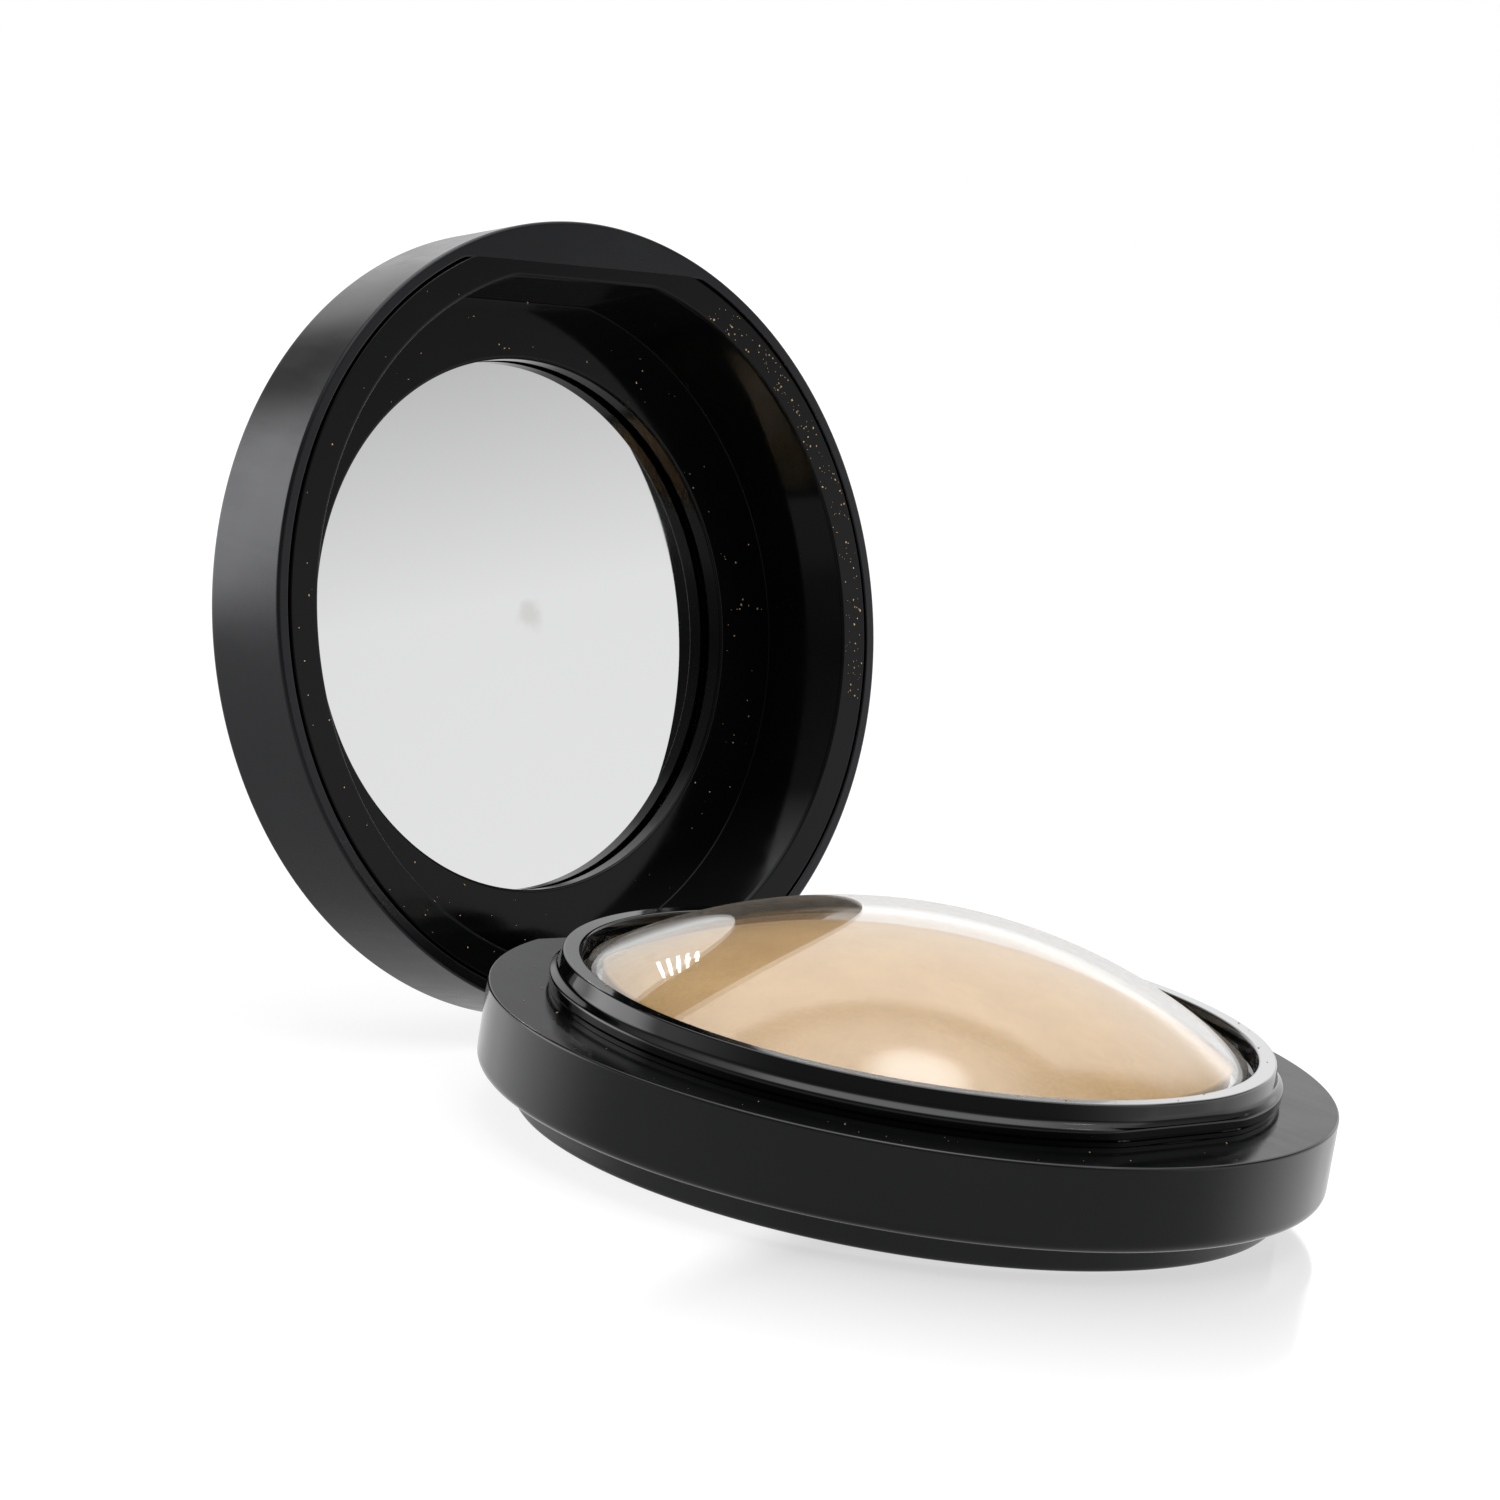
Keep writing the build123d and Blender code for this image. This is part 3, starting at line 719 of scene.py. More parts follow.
class COMPACT_OT_case(Operator):
    """Build the case with its back flat, knuckle pocket and pin ears"""
    bl_idname = "compact.case"
    bl_label = "Case"

    def execute(self, context):
        s = context.scene.compact_base
        make_loop("case", case_grid(s), "base", "case_black", replaces=("base_shell",))
        start = s.pocket_half / MM
        ears = [bar_along_x(s.knuckle_radius / MM, side * start, side * (start + s.ear_width / MM), 0.2)
                for side in (-1, 1)]
        points, faces = join_grids(ears)
        make_piece("hinge_ears", points, faces, "base", "case_black", replaces=("base_shell",))
        return {"FINISHED"}


class COMPACT_OT_collar(Operator):
    """Build the collar with its snap bead and the tray below it"""
    bl_idname = "compact.collar"
    bl_label = "Collar and tray"

    def execute(self, context):
        s = context.scene.compact_base
        top, ledge, low = s.rim_height / MM, s.ledge_height / MM, COLLAR_LOW[2]
        bead, rim, bore = s.bead_radius / MM, s.rim_radius / MM, (s.rim_radius - s.rim_width) / MM
        neck, throat, ridge = bead - 0.9, bead - 0.25, bore - 0.4
        tray, floor, seat = 29.95, low + 1.2, ledge + 0.01
        catch = 0.1
        flat = bead - rim + catch
        outline = rounded([
            (AXIS, low, 0), (neck, low, 0.6), (neck, seat, 0), (throat, seat, 0.04, flat - 0.25),
            (throat, ledge + 0.5, 0.12, flat - 0.25), (bead, ledge + 0.72, 0.12, flat),
            (bead, ledge + 1.55, 0.34, flat), (rim + 0.33, ledge + 2.1, 0.7, catch + 0.33),
            (rim, top, 0.22, catch), (bore, top, 0.25), (bore, ledge + 1.7, 0),
            (ridge, ledge + 1.4, 0.1), (ridge, ledge + 1.1, 0.1), (bore, ledge + 1.0, 0),
            (bore, ledge - 0.1, 0), (tray, ledge - 0.1, 0.1), (tray, floor, 0.1), (AXIS, floor, 0)])
        make_capped("collar", with_flats(outline), "base", "collar_black", replaces=("collar_tray",))
        return {"FINISHED"}


class COMPACT_OT_foot(Operator):
    """Build the stepped foot with its spigot, posts and label recess"""
    bl_idname = "compact.foot"
    bl_label = "Foot"

    def execute(self, context):
        s = context.scene.compact_base
        foot, bottom, label = s.foot_radius / MM, s.case_bottom / MM, LABEL_HIGH[2]
        spigot, label_r = s.lip_radius / MM - 0.15, LABEL_HIGH[0]
        spigot_top, spigot_bore, plate = bottom + 2.2, spigot - 1.4, 1.6
        outline = rounded([
            (AXIS, label, 0), (label_r, label, 0), (label_r, 0, 0.05), (foot, 0, s.foot_edge / MM),
            (foot, bottom, 0.08), (spigot, bottom, 0.05), (spigot, spigot_top, 0.2),
            (spigot_bore, spigot_top, 0.2), (spigot_bore, plate, 0.5), (AXIS, plate, 0)])
        make_capped("foot", turned(outline), "base", "foot_black", replaces=("foot_plate",))
        post_r, post_low, post_top, ring_r = 1.6, plate - 0.1, COLLAR_LOW[2], 20
        post = turned(rounded([(AXIS, post_low, 0), (post_r, post_low, 0.1), (post_r, post_top, 0.1),
                               (AXIS, post_top, 0)], 4), 40)
        places = [(ring_r * cos(a), ring_r * sin(a), 0) for a in np.arange(4) * pi / 2]
        points, faces = join_grids([post + np.array(place) for place in places])
        make_piece("foot_posts", points, faces, "base", "foot_black", replaces=("foot_plate",))
        return {"FINISHED"}


class COMPACT_OT_powder(Operator):
    """Build the domed baked powder with its uneven, grainy surface"""
    bl_idname = "compact.powder"
    bl_label = "Powder"

    def execute(self, context):
        s = context.scene.compact_base
        radius, bottom, apex = CAKE_HIGH[0], CAKE_LOW[2], CAKE_HIGH[2]
        skirt = s.cover_radius / MM
        rise = COVER_HIGH[2] - s.ledge_height / MM - s.cover_shoulder / MM
        cover_sphere = cap_sphere(skirt, rise)
        under_cover = cover_sphere - s.cover_thickness / MM
        edge_height = (COVER_HIGH[2] - cover_sphere + sqrt(under_cover ** 2 - radius ** 2)
                       - s.cake_edge_gap / MM)
        drop = apex - edge_height
        sphere = cap_sphere(radius, drop)
        top = cap_arc(sphere, apex - sphere, radius - 0.35, 150)
        edge = rounded([(radius - 0.5, top[-1, 1], 0), (radius, top[-1, 1] - 0.02, 0.3),
                        (radius, bottom, 0.3), (AXIS, bottom, 0)], 6)[1:, :2]
        top[0, 0] = AXIS
        grid = turned(np.vstack([top, edge]), 420)
        x, y = grid[..., 0], grid[..., 1]
        fade = np.clip((grid[..., 2] - bottom - 1.5) / 1.0, 0, 1)
        slow = 0.6 * lattice_noise(x, y, 7.0, 11) + 0.4 * lattice_noise(x, y, 3.1, 12)
        fine = 0.6 * lattice_noise(x, y, 0.9, 13) + 0.4 * lattice_noise(x, y, 0.5, 14)
        waves, grain = s.cake_waves / MM, s.cake_grain / MM
        grid[..., 2] -= fade * (waves * (0.5 + 0.5 * slow) + grain * (0.5 + 0.5 * fine))
        make_capped("powder", grid, "base", "powder", replaces=("powder_cake",), sharp=60)
        return {"FINISHED"}


class COMPACT_OT_cover(Operator):
    """Build the clear domed cover"""
    bl_idname = "compact.cover"
    bl_label = "Clear cover"

    def execute(self, context):
        s = context.scene.compact_base
        skirt, wall, apex = s.cover_radius / MM, s.cover_thickness / MM, COVER_HIGH[2]
        shoulder = s.ledge_height / MM + s.cover_shoulder / MM
        rise = apex - shoulder
        sphere = cap_sphere(skirt, rise)
        centre = apex - sphere
        outside = cap_arc(sphere, centre, skirt - 0.55, 110)
        inner_wall = skirt - wall + 0.1
        inside = cap_arc(sphere - wall, centre, inner_wall, 110)
        outside[0, 0] = inside[0, 0] = AXIS
        low, flange = COVER_LOW[2], COVER_HIGH[0]
        skirt_line = rounded([
            (skirt - 0.5, outside[-1, 1] - 0.02, 0), (skirt, shoulder + 0.02, 0.45), (skirt, low + 0.9, 0.1),
            (flange, low + 0.9, 0.1), (flange, low, 0.1), (inner_wall, low, 0.1),
            (inner_wall, inside[-1, 1] - 0.4, 0)], 6)[1:, :2]
        grid = turned(np.vstack([outside, skirt_line, inside[::-1]]), 420)
        make_capped("cover", grid, "base", "clear_cover", replaces=("dome_cover",), sharp=50)
        return {"FINISHED"}


def lid_outline(s):
    """The lid casing's outline with the lid shut: straight wall, a shoulder that is an arc leaving
    the wall at one slope and meeting the crown at another, and a crown that is a shallow cap."""
    radius, rim, top = LID_HIGH[0], s.rim_plane / MM, s.crown_top / MM
    inner = radius - s.casing_wall / MM
    low_slope, high_slope = s.shoulder_slope, s.crown_slope
    arc = s.shoulder_rise / MM / (cos(high_slope) - cos(low_slope))
    arc_x = radius - arc * sin(low_slope)
    crown_r = arc_x + arc * sin(high_slope)
    crown_sphere = crown_r / sin(high_slope)
    crown_edge = top - crown_sphere * (1 - cos(high_slope))
    arc_z = crown_edge - arc * cos(high_slope)
    slope = np.linspace(low_slope, high_slope, 40)
    shoulder = np.stack([arc_x + arc * np.sin(slope), arc_z + arc * np.cos(slope)], 1)
    crown = cap_arc(crown_sphere, top - crown_sphere, crown_r, 30)[::-1]
    crown[-1, 0] = AXIS
    wall_top = shoulder[0, 1]
    edge = s.rim_edge / MM
    flats = (s.front_flat / MM + s.groove_width / MM / 2 - s.casing_wall / MM,
             s.back_flat / MM - s.casing_wall / MM)
    pocket, back = s.mirror_radius / MM + 0.3, MIRROR_LOW[2]
    foot = rounded([(AXIS, back + 1.5, 0), (pocket, back + 1.5, 0.05), (pocket, back, 0.05),
                    (34.4, back, 0), (inner, rim + 9.4, 0.2, *flats), (inner, rim, 0.15, *flats),
                    (radius, rim, edge), (radius, wall_top, 0.45), (radius - 3, wall_top + 2.6, 0)])
    foot = foot[:-1]
    plain = np.zeros((len(shoulder) + len(crown) - 2, 4))
    plain[:, :2] = np.vstack([shoulder[2:], crown])
    return np.vstack([foot, plain])


def tongue_block(s, start, end, clear):
    """Part of the hinge tongue between two places along X, with the lid shut.

    Its inner face stands off the back flat, its outer face continues the lid's round wall, and its
    underside is the higher of the stop's bevel and the circle that clears a knuckle.
    """
    radius, rim = LID_HIGH[0], s.rim_plane / MM
    base = bpy.context.scene.compact_base
    inner = radius - base.flat_setback / MM + s.tongue_gap / MM - PIVOT[1]
    x = np.linspace(start, end, 24)
    outer = np.sqrt(radius ** 2 - x ** 2) - PIVOT[1] - 0.02
    share = np.linspace(0, 1, 14)[:, None]
    y = inner + share * (outer - inner)
    bevel = OPEN_ANGLE - pi / 2
    under = s.stop_gap / MM / cos(bevel) + y * tan(bevel)
    under = np.maximum(under, np.sqrt(np.maximum(clear ** 2 - y ** 2, 0)))
    top = rim - PIVOT[2] + 0.5
    up = np.linspace(0, 1, 8)[1:, None]
    outer_side = np.stack([np.repeat(outer[None], 7, 0), under[-1] + up * (top - under[-1])], -1)
    inner_side = np.stack([np.full((7, len(x)), inner), top + up * (under[0] - top)], -1)[:-1]
    upper = np.stack([y[::-1][1:], np.full((13, len(x)), top)], -1)
    loop = np.concatenate([np.stack([y, under], -1), outer_side, upper, inner_side])
    grid = np.empty((len(x), len(loop), 3))
    grid[..., 0] = x[:, None]
    grid[..., 1] = PIVOT[1] + loop[..., 0].T
    grid[..., 2] = PIVOT[2] + loop[..., 1].T
    return grid


class COMPACT_OT_lid(Operator):
    """Build the lid casing and its hinge tongue"""
    bl_idname = "compact.lid"
    bl_label = "Lid casing"

    def execute(self, context):
        s = context.scene.compact_lid
        base = context.scene.compact_base
        casing = about_hinge(with_flats(lid_outline(s), LID_CORNER), -OPEN_ANGLE)
        make_capped("lid_casing", casing, "lid", "lid_black", replaces=("lid_shell",))
        half, end = s.barrel_half / MM, s.tongue_half / MM
        clear = base.pocket_radius / MM
        blocks = [tongue_block(s, -end, -half, clear), tongue_block(s, -half, half, 0.0),
                  tongue_block(s, half, end, clear),
                  bar_along_x(base.knuckle_radius / MM, -half, half, 0.15)]
        points, faces = join_grids([about_hinge(block, -OPEN_ANGLE) for block in blocks])
        make_piece("hinge_tongue", points, faces, "lid", "lid_black", replaces=("lid_shell",))
        return {"FINISHED"}


class COMPACT_OT_liner(Operator):
    """Build the lid liner: flush flange, tapered recess with its front flat, plate round the mirror"""
    bl_idname = "compact.liner"
    bl_label = "Lid liner"

    def execute(self, context):
        s = context.scene.compact_lid
        rim, back = s.rim_plane / MM, MIRROR_LOW[2]
        plate = back - s.plate_thickness / MM
        outer = LID_HIGH[0] - s.casing_wall / MM - s.groove_width / MM
        front = s.front_flat / MM - s.groove_width / MM / 2 - (LID_HIGH[0] - outer)
        behind = s.back_flat / MM + s.groove_width / MM / 2 - (LID_HIGH[0] - outer)
        mouth, flat = s.recess_radius / MM, s.recess_flat / MM
        floor = mouth - s.recess_draft / MM
        opening = s.opening_radius / MM
        keep = LID_HIGH[0] - outer + front
        wall_cut = mouth + 1.1 - (LID_HIGH[0] - keep)
        floor_cut = floor + 1.1 - (LID_HIGH[0] - keep)
        outline = rounded([
            (outer, rim, 0.13, front, behind), (outer, rim + 1.4, 0.1, front, behind),
            (mouth + 1.1, rim + 1.4, 0, wall_cut), (floor + 1.1, back - 0.7, 0, max(floor_cut, 0.05)),
            (floor + 0.3, back, 0.1), (opening, back, 0.05), (opening, plate, 0.3),
            (floor, plate, 0.12, flat), (mouth, rim, 0.3, flat)])
        make_loop("liner", about_hinge(with_flats(outline, LID_CORNER), -OPEN_ANGLE), "lid", "liner_black",
                  replaces=("lid_liner",))
        return {"FINISHED"}


class COMPACT_OT_mirror(Operator):
    """Build the round mirror with its ground edge and sunken silver"""
    bl_idname = "compact.mirror"
    bl_label = "Mirror"

    def execute(self, context):
        s = context.scene.compact_lid
        radius, front, back = s.mirror_radius / MM, MIRROR_LOW[2], MIRROR_HIGH[2]
        silver, lip = front + s.silver_depth / MM, radius - 0.45
        outline = rounded([(AXIS, silver, 0), (lip, silver, 0.05), (lip, front, 0.05), (radius, front, 0.15),
                           (radius, back, 0.15), (AXIS, back, 0)], 4)
        grid = about_hinge(turned(outline, 360), -OPEN_ANGLE)
        make_capped("mirror_disc", grid, "lid", "mirror_glass", replaces=("mirror",))
        return {"FINISHED"}


class COMPACT_OT_inner_pieces(Operator):
    """Give the pan, pin, label and adhesive discs their finishes"""
    bl_idname = "compact.inner_pieces"
    bl_label = "Pan, pin, label and adhesive"

    def execute(self, context):
        slots = {part["node"]: part["material_slot"] for part in frame["record"]["subparts"]}
        for node in ("powder_pan", "hinge_pin", "base_label", "pan_adhesive", "mirror_pad"):
            frame["nodes"][node].material_slots[0].material = finish_of(slots[node])
        return {"FINISHED"}


# ---- loose powder ----

def grains(places, normals, sizes, seed):
    """Small uneven grains: an eight-faced stone at each place, stretched at random across the
    surface, flattened along its normal and half sunk in it."""
    rng = np.random.default_rng(seed)
    stone = np.array([(1, 0, 0), (-1, 0, 0), (0, 1, 0), (0, -1, 0), (0, 0, 1), (0, 0, -1)], float)
    count = len(places)
    shape = stone[None] * rng.uniform(0.55, 1.3, (count, 6, 1))
    shape[..., 2] *= 0.6
    spin = rng.uniform(0, 2 * pi, count)
    turned_x = shape[..., 0] * np.cos(spin)[:, None] - shape[..., 1] * np.sin(spin)[:, None]
    turned_y = shape[..., 0] * np.sin(spin)[:, None] + shape[..., 1] * np.cos(spin)[:, None]
    side = np.cross(normals, np.array([0.31, 0.22, 0.92]))
    side /= np.linalg.norm(side, axis=1, keepdims=True)
    other = np.cross(normals, side)
    points = (places[:, None] + sizes[:, None, None] * (
        turned_x[..., None] * side[:, None] + turned_y[..., None] * other[:, None]
        + (shape[..., 2:3] + 0.25) * normals[:, None]))
    faces = np.array([(0, 2, 4), (2, 1, 4), (1, 3, 4), (3, 0, 4), (2, 0, 5), (1, 2, 5), (3, 1, 5), (0, 3, 5)])
    faces = (faces[None] + 6 * np.arange(count)[:, None, None]).reshape(-1, 3)
    return points.reshape(-1, 3), faces.tolist()


def scatter(rng, count, low_radius, high_radius, low_bearing, high_bearing):
    """Random places on a ring: radius and bearing each drawn evenly between two limits."""
    radius = rng.uniform(low_radius, high_radius, count)
    bearing = np.radians(rng.uniform(low_bearing, high_bearing, count))
    return radius * np.cos(bearing), radius * np.sin(bearing)


class COMPACT_OT_dust(Operator):
    """Scatter loose powder grains on the lid's inside, the ledge and the collar"""
    bl_idname = "compact.dust"
    bl_label = "Loose powder"

    def execute(self, context):
        lid, base = context.scene.compact_lid, context.scene.compact_base
        count = context.scene.compact_studio.dust_grains
        rng = np.random.default_rng(5)
        rim, plate = lid.rim_plane / MM, MIRROR_LOW[2] - lid.plate_thickness / MM
        mouth, opening = lid.recess_radius / MM, lid.opening_radius / MM
        # (share of grains, lowest and highest radius, bearings, height)
        rings = ((0.55, mouth + 0.4, LINER_HIGH[0] - 0.3, -62, 12, rim),
                 (0.08, mouth + 0.4, LINER_HIGH[0] - 0.3, 100, 250, rim),
                 (0.37, opening + 0.5, mouth - 1.5, -180, 180, plate))
        places = []
        for share, low, high, start, end, height in rings:
            x, y = scatter(rng, int(share * count), low, high, start, end)
            keep = y > -(LID_HIGH[0] - lid.front_flat / MM - 1.8)
            places.append(np.stack([x, y, np.full(len(x), height)], 1)[keep])
        places = np.vstack(places)
        down = np.tile((0.0, 0.0, -1.0), (len(places), 1))
        sizes = 0.045 + 0.11 * rng.uniform(0, 1, len(places)) ** 3
        points, faces = grains(places, down, sizes, 21)
        finish = dust_grains()
        make_piece("dust_on_lid", about_hinge(points, -OPEN_ANGLE), faces, "lid", "powder", sharp=180,
                   finish=finish)
        x, y = scatter(rng, 46, base.bead_radius / MM + 0.4, base.case_radius / MM - 0.5, -180, 180)
        ledge = np.stack([x, y, np.full(len(x), base.ledge_height / MM)], 1)
        ledge = ledge[ledge[:, 1] < base.case_radius / MM - base.flat_setback / MM - 0.4]
        x, y = scatter(rng, 30, (base.rim_radius - base.rim_width) / MM + 0.3, base.rim_radius / MM - 0.3,
                       -180, 180)
        collar = np.stack([x, y, np.full(len(x), base.rim_height / MM)], 1)
        places = np.vstack([ledge, collar])
        up = np.tile((0.0, 0.0, 1.0), (len(places), 1))
        sizes = 0.04 + 0.08 * rng.uniform(0, 1, len(places)) ** 3
        points, faces = grains(places, up, sizes, 22)
        make_piece("dust_on_base", points, faces, "base", "powder", sharp=180, finish=finish)
        return {"FINISHED"}


# ---- stage ----

# brightness of the tent against the height of the direction: -1 straight down, 1 straight up
BACK_WALL = ((-1.0, 0.4), (-0.3, 0.85), (0.0, 0.85), (0.15, 0.85), (0.21, 1.3), (0.26, 1.4), (0.31, 0.95),
             (0.36, 0.95), (0.42, 1.05), (0.5, 1.1), (0.64, 1.3), (0.71, 1.45), (0.766, 1.65), (0.815, 1.8),
             (0.838, 1.0), (0.862, 1.1), (0.888, 1.55), (0.91, 1.8), (0.94, 2.1), (1.0, 2.2))
SIDE_WALL = ((-1.0, 0.35), (-0.8, 0.35), (-0.6, 0.5), (-0.3, 1.0), (-0.1, 1.0), (0.0, 0.8), (0.25, 0.72),
             (0.32, 0.4), (0.38, 0.15), (0.6, 0.2), (0.8, 0.5), (0.888, 1.0), (0.94, 2.2), (1.0, 2.4))
FRONT_OPENING = ((-1.0, 0.3), (-0.3, 0.38), (-0.1, 0.35), (0.0, 0.2), (0.3, 0.12), (0.8, 0.2),
                 (0.9, 1.0), (1.0, 2.4))
# bearings of the middle of the opening and of the back wall, in degrees clockwise from +Y
OPENING_BEARING, WALL_BEARING = -135.4, 41
# middles of the first and last lamp tube and the point they face, in metres
TUBE_FIRST, TUBE_LAST = (0.271, -0.3225, 0.690), (0.309, -0.2905, 0.701)
TUBE_AIM = (0, 0.06, 0.05)
TUBE_WIDTH, TUBE_LENGTH, TUBE_TAPER, TUBE_LEAN = 0.0045, 0.10, 0.02, 0.18
# level direction in which the floor's gloss lies
FLOOR_AHEAD = (0.348, -0.937, 0)
# overhead panel, wide low panel at the left, low panel at the right in front: bearing and elevation of
# the middle, angles from it where it is full and where it ends, brightness
LIGHT_PANELS = ((54, 76, 2, 9, 3.2), (-27, 8, 9, 22, 2.0), (140, 47, 13, 23, 0.6))


def camera_axes(studio):
    """Camera's right, up and back directions: back points from the compact to the camera at the given
    bearing and elevation, and the other two are turned about it by the roll."""
    a, e, roll = studio.azimuth, studio.elevation, studio.roll
    back = Vector((sin(a) * cos(e), -cos(a) * cos(e), sin(e)))
    level = Vector((0, 0, 1)).cross(back).normalized()
    upright = back.cross(level)
    right = cos(roll) * level + sin(roll) * upright
    up = -sin(roll) * level + cos(roll) * upright
    return right, up, back


def add_camera(studio):
    """Camera at the viewing angle, with neither shift nor depth of field."""
    right, up, back = camera_axes(studio)
    data = bpy.data.cameras.new("camera")
    data.lens, data.sensor_width = studio.lens, 36
    data.clip_start, data.clip_end = 0.01, 20
    camera = put_in_scene("camera", data)
    turn = Matrix((right, up, back)).transposed().to_4x4()
    camera.matrix_world = Matrix.Translation(Vector(studio.aim) + back * studio.distance) @ turn
    bpy.context.scene.camera = camera


def leaning_floor():
    """Slope and place of the surface that the open compact leans on: it touches the foot's front edge
    and the lid's lowest edge, which hangs a little lower than the foot."""
    lid = node_points("lid_shell")
    lowest = lid[lid[:, 2].argmin()]
    front = -(FOOT_HIGH[1] - 0.6)
    slope = atan2(lowest[2], lowest[1] - front)
    return front * MM, slope


def add_floor(tint):
    """Large pale floor disc, which glows to white and is glossy only close in front of the compact."""
    front, slope = leaning_floor()
    count, radius, gap = 96, 2.5, 0.00005
    t = np.arange(count) * 2 * pi / count
    points = np.stack([radius * np.cos(t), radius * np.sin(t), np.zeros(count)], 1)
    points = np.vstack([points, (0, 0, 0)])
    points[:, 2] = (points[:, 1] - front) * tan(slope) - gap
    faces = [(i, (i + 1) % count, count) for i in range(count)]
    mesh = bpy.data.meshes.new("floor")
    mesh.from_pydata(points.tolist(), [], faces)
    floor = put_in_scene("floor", mesh)
    material, tree, shader, place = new_material("floor")
    shader.inputs["Base Color"].default_value = (*tint, 1)
    shader.inputs["Roughness"].default_value = 0.1
    away = vector_maths(tree, "LENGTH", place)
    near = remap(tree, away.outputs["Value"], 0.036, 0.078, 1, 0, True)
    ahead = remap(tree, dot_with(tree, place, FLOOR_AHEAD), 0.001, 0.009, 0, 1, True)
    near = combine(tree, "MULTIPLY", near, ahead)
    tree.links.new(combine(tree, "MULTIPLY", near, 0.5), shader.inputs["Specular IOR Level"])
    shader.inputs["Emission Color"].default_value = (1, 1, 1, 1)
    tree.links.new(remap(tree, near, 0, 1, 0.86, 0.62), shader.inputs["Emission Strength"])
    mesh.materials.append(material)
    floor.visible_glossy = False


def brightness_by_height(tree, height, steps):
    """Brightness against the direction's height, from pairs of height and brightness: a ramp of
    shares of the brightest, scaled back up."""
    most = max(value for _, value in steps)
    ramp = tree.nodes.new("ShaderNodeValToRGB")
    elements = ramp.color_ramp.elements
    while len(elements) < len(steps):
        elements.new(0.5)
    for element, (level, value) in zip(elements, steps):
        element.position = 0.5 + 0.5 * level
        element.color = (value / most,) * 3 + (1,)
    tree.links.new(combine(tree, "MULTIPLY_ADD", height, 0.5), ramp.inputs["Fac"])
    return combine(tree, "MULTIPLY", ramp.outputs["Color"], most)


def aimed(bearing, elevation):
    """Direction from a bearing (degrees, clockwise from +Y) and an elevation."""
    a, e = radians(bearing), radians(elevation)
    return Vector((sin(a) * cos(e), cos(a) * cos(e), sin(e)))


def add_tent(studio):
    """Light tent as the world, by direction: a tall soft wall behind, side walls, a darker opening
    towards the camera and the light panels. Each wall's brightness is a ramp against height, and the
    walls are mixed by bearing. The camera itself sees plain white."""
    world = bpy.data.worlds.new("light_tent")
    bpy.context.scene.world = world
    world.use_nodes = True
    tree = world.node_tree
    background = tree.nodes["Background"]
    direction = tree.nodes.new("ShaderNodeTexCoord").outputs["Generated"]
    height = dot_with(tree, direction, (0, 0, 1))
    flattened = vector_maths(tree, "MULTIPLY", direction, (1, 1, 0)).outputs["Vector"]
    level = vector_maths(tree, "NORMALIZE", flattened).outputs["Vector"]
    side = brightness_by_height(tree, height, SIDE_WALL)
    front = brightness_by_height(tree, height, FRONT_OPENING)
    back = brightness_by_height(tree, height, BACK_WALL)
    toward = dot_with(tree, level, aimed(OPENING_BEARING, 0))
    toward = combine(tree, "ADD", toward, remap(tree, height, -0.25, 0.075, 0.5, -0.15))
    light = between(tree, remap(tree, toward, -0.1, 0.65, 0, 1, True), side, front)
    behind = combine(tree, "ADD", dot_with(tree, level, aimed(WALL_BEARING, 0)),
                     remap(tree, height, 0.38, 0.6, -0.08, 0))
    behind = remap(tree, behind, 0.72, 0.80, 0, 1, True)
    light = between(tree, behind, light, back)
    for bearing, elevation, near, far, strength in LIGHT_PANELS:
        spread = remap(tree, dot_with(tree, direction, aimed(bearing, elevation)),
                       cos(radians(far)), cos(radians(near)), 0, strength, True)
        light = combine(tree, "ADD", light, spread)
    light = combine(tree, "MULTIPLY", light, studio.tent_light)
    seen = tree.nodes.new("ShaderNodeLightPath").outputs["Is Camera Ray"]
    tree.links.new(between(tree, seen, light, 1.0), background.inputs["Strength"])
    background.inputs["Color"].default_value = (1, 1, 1, 1)


def add_lamp(name, place, aim, width, height, lean, energy):
    """Rectangular lamp at a place, turned to face a point and leant over about that line."""
    data = bpy.data.lights.new(name, "AREA")
    data.shape, data.size, data.size_y, data.energy = "RECTANGLE", width, height, energy
    lamp = put_in_scene(name, data)
    lamp.location = place
    facing = (Vector(aim) - Vector(place)).to_track_quat("-Z", "Y")
    lamp.rotation_euler = (facing @ Quaternion((0, 0, 1), lean)).to_euler()


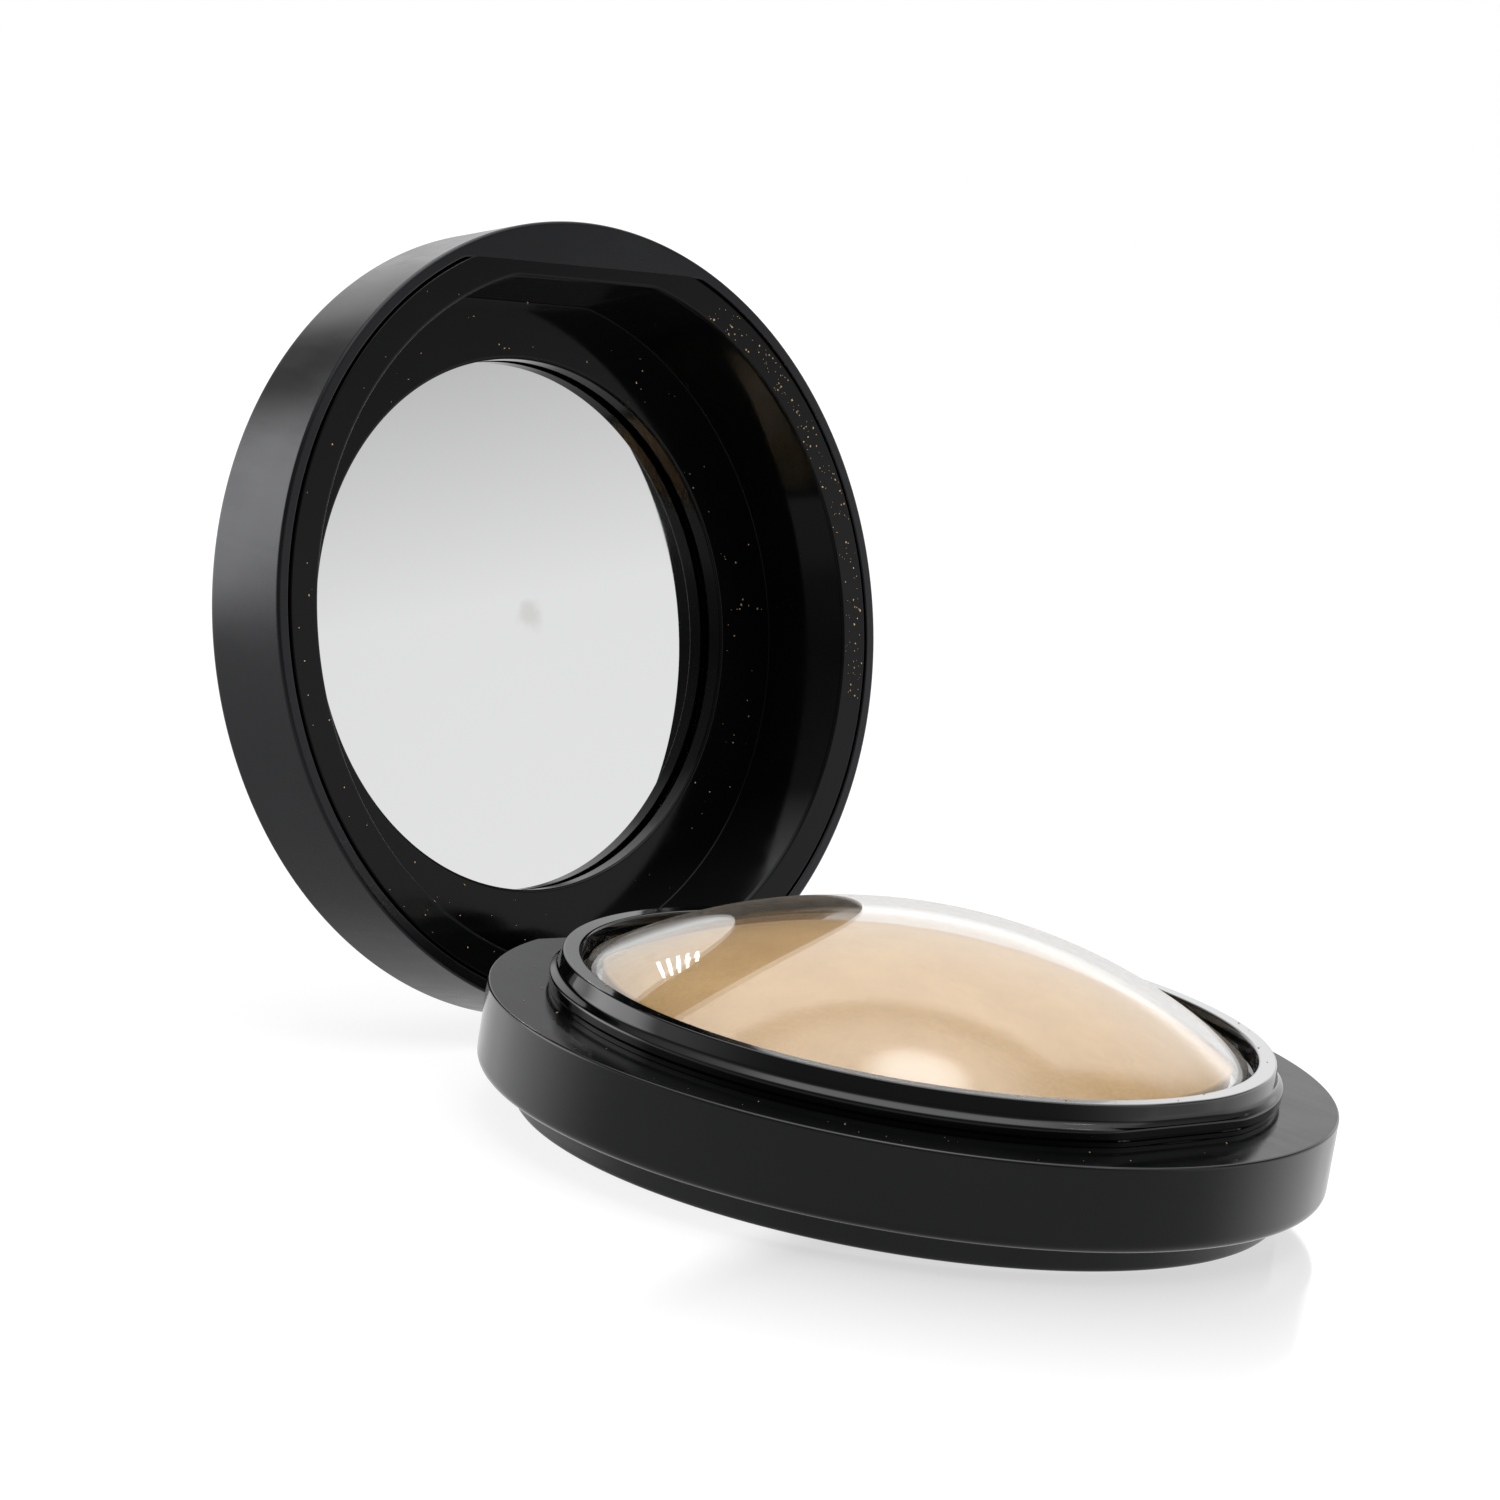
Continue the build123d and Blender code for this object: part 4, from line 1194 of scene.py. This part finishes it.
def add_strip_lamps(studio):
    """Five narrow tubes side by side, high at the front right, as the small bright bars that gloss
    shows: each faces the compact, its length up and down."""
    first, last = np.array(TUBE_FIRST), np.array(TUBE_LAST)
    for share in np.linspace(0, 1, 5):
        place = first + share * (last - first)
        add_lamp("tube", place.tolist(), TUBE_AIM, TUBE_WIDTH, TUBE_LENGTH - TUBE_TAPER * share,
                 TUBE_LEAN, studio.tube_power)


class COMPACT_OT_stage(Operator):
    """Add the pale floor, the light tent, its lamps and the camera"""
    bl_idname = "compact.stage"
    bl_label = "Stage"

    def execute(self, context):
        studio, colours = context.scene.compact_studio, context.scene.compact_colours
        add_camera(studio)
        add_floor(colours.floor)
        add_tent(studio)
        add_strip_lamps(studio)
        context.scene.view_settings.view_transform = "Standard"
        return {"FINISHED"}


# ---- panel and registration ----

PIECES = (COMPACT_OT_case, COMPACT_OT_collar, COMPACT_OT_foot, COMPACT_OT_powder, COMPACT_OT_cover,
          COMPACT_OT_lid, COMPACT_OT_liner, COMPACT_OT_mirror, COMPACT_OT_inner_pieces, COMPACT_OT_dust,
          COMPACT_OT_stage)
SETTINGS = {"compact_base": CompactBaseSizes, "compact_lid": CompactLidSizes,
            "compact_colours": CompactColours, "compact_studio": CompactStudio}


class COMPACT_PT_panel(Panel):
    """Powder compact pieces and settings"""
    bl_idname = "COMPACT_PT_panel"
    bl_label = "Powder Compact"
    bl_space_type = "VIEW_3D"
    bl_region_type = "UI"
    bl_category = "Compact"

    def draw(self, context):
        for operator in PIECES:
            self.layout.operator(operator.bl_idname)
        for setting in SETTINGS:
            box = self.layout.box()
            group = getattr(context.scene, setting)
            for name in group.__annotations__:
                box.prop(group, name)


def register():
    """Register the classes and put the settings on the scene."""
    for item in (*SETTINGS.values(), *PIECES, COMPACT_PT_panel):
        bpy.utils.register_class(item)
    for setting, group in SETTINGS.items():
        setattr(bpy.types.Scene, setting, PointerProperty(type=group))


def unregister():
    """Take the settings and classes away again."""
    for setting in SETTINGS:
        delattr(bpy.types.Scene, setting)
    for item in reversed((*SETTINGS.values(), *PIECES, COMPACT_PT_panel)):
        bpy.utils.unregister_class(item)


def main():
    """Register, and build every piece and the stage."""
    register()
    for operator in PIECES:
        getattr(bpy.ops.compact, operator.bl_idname.split(".")[1])()


if __name__ == "__main__":
    main()
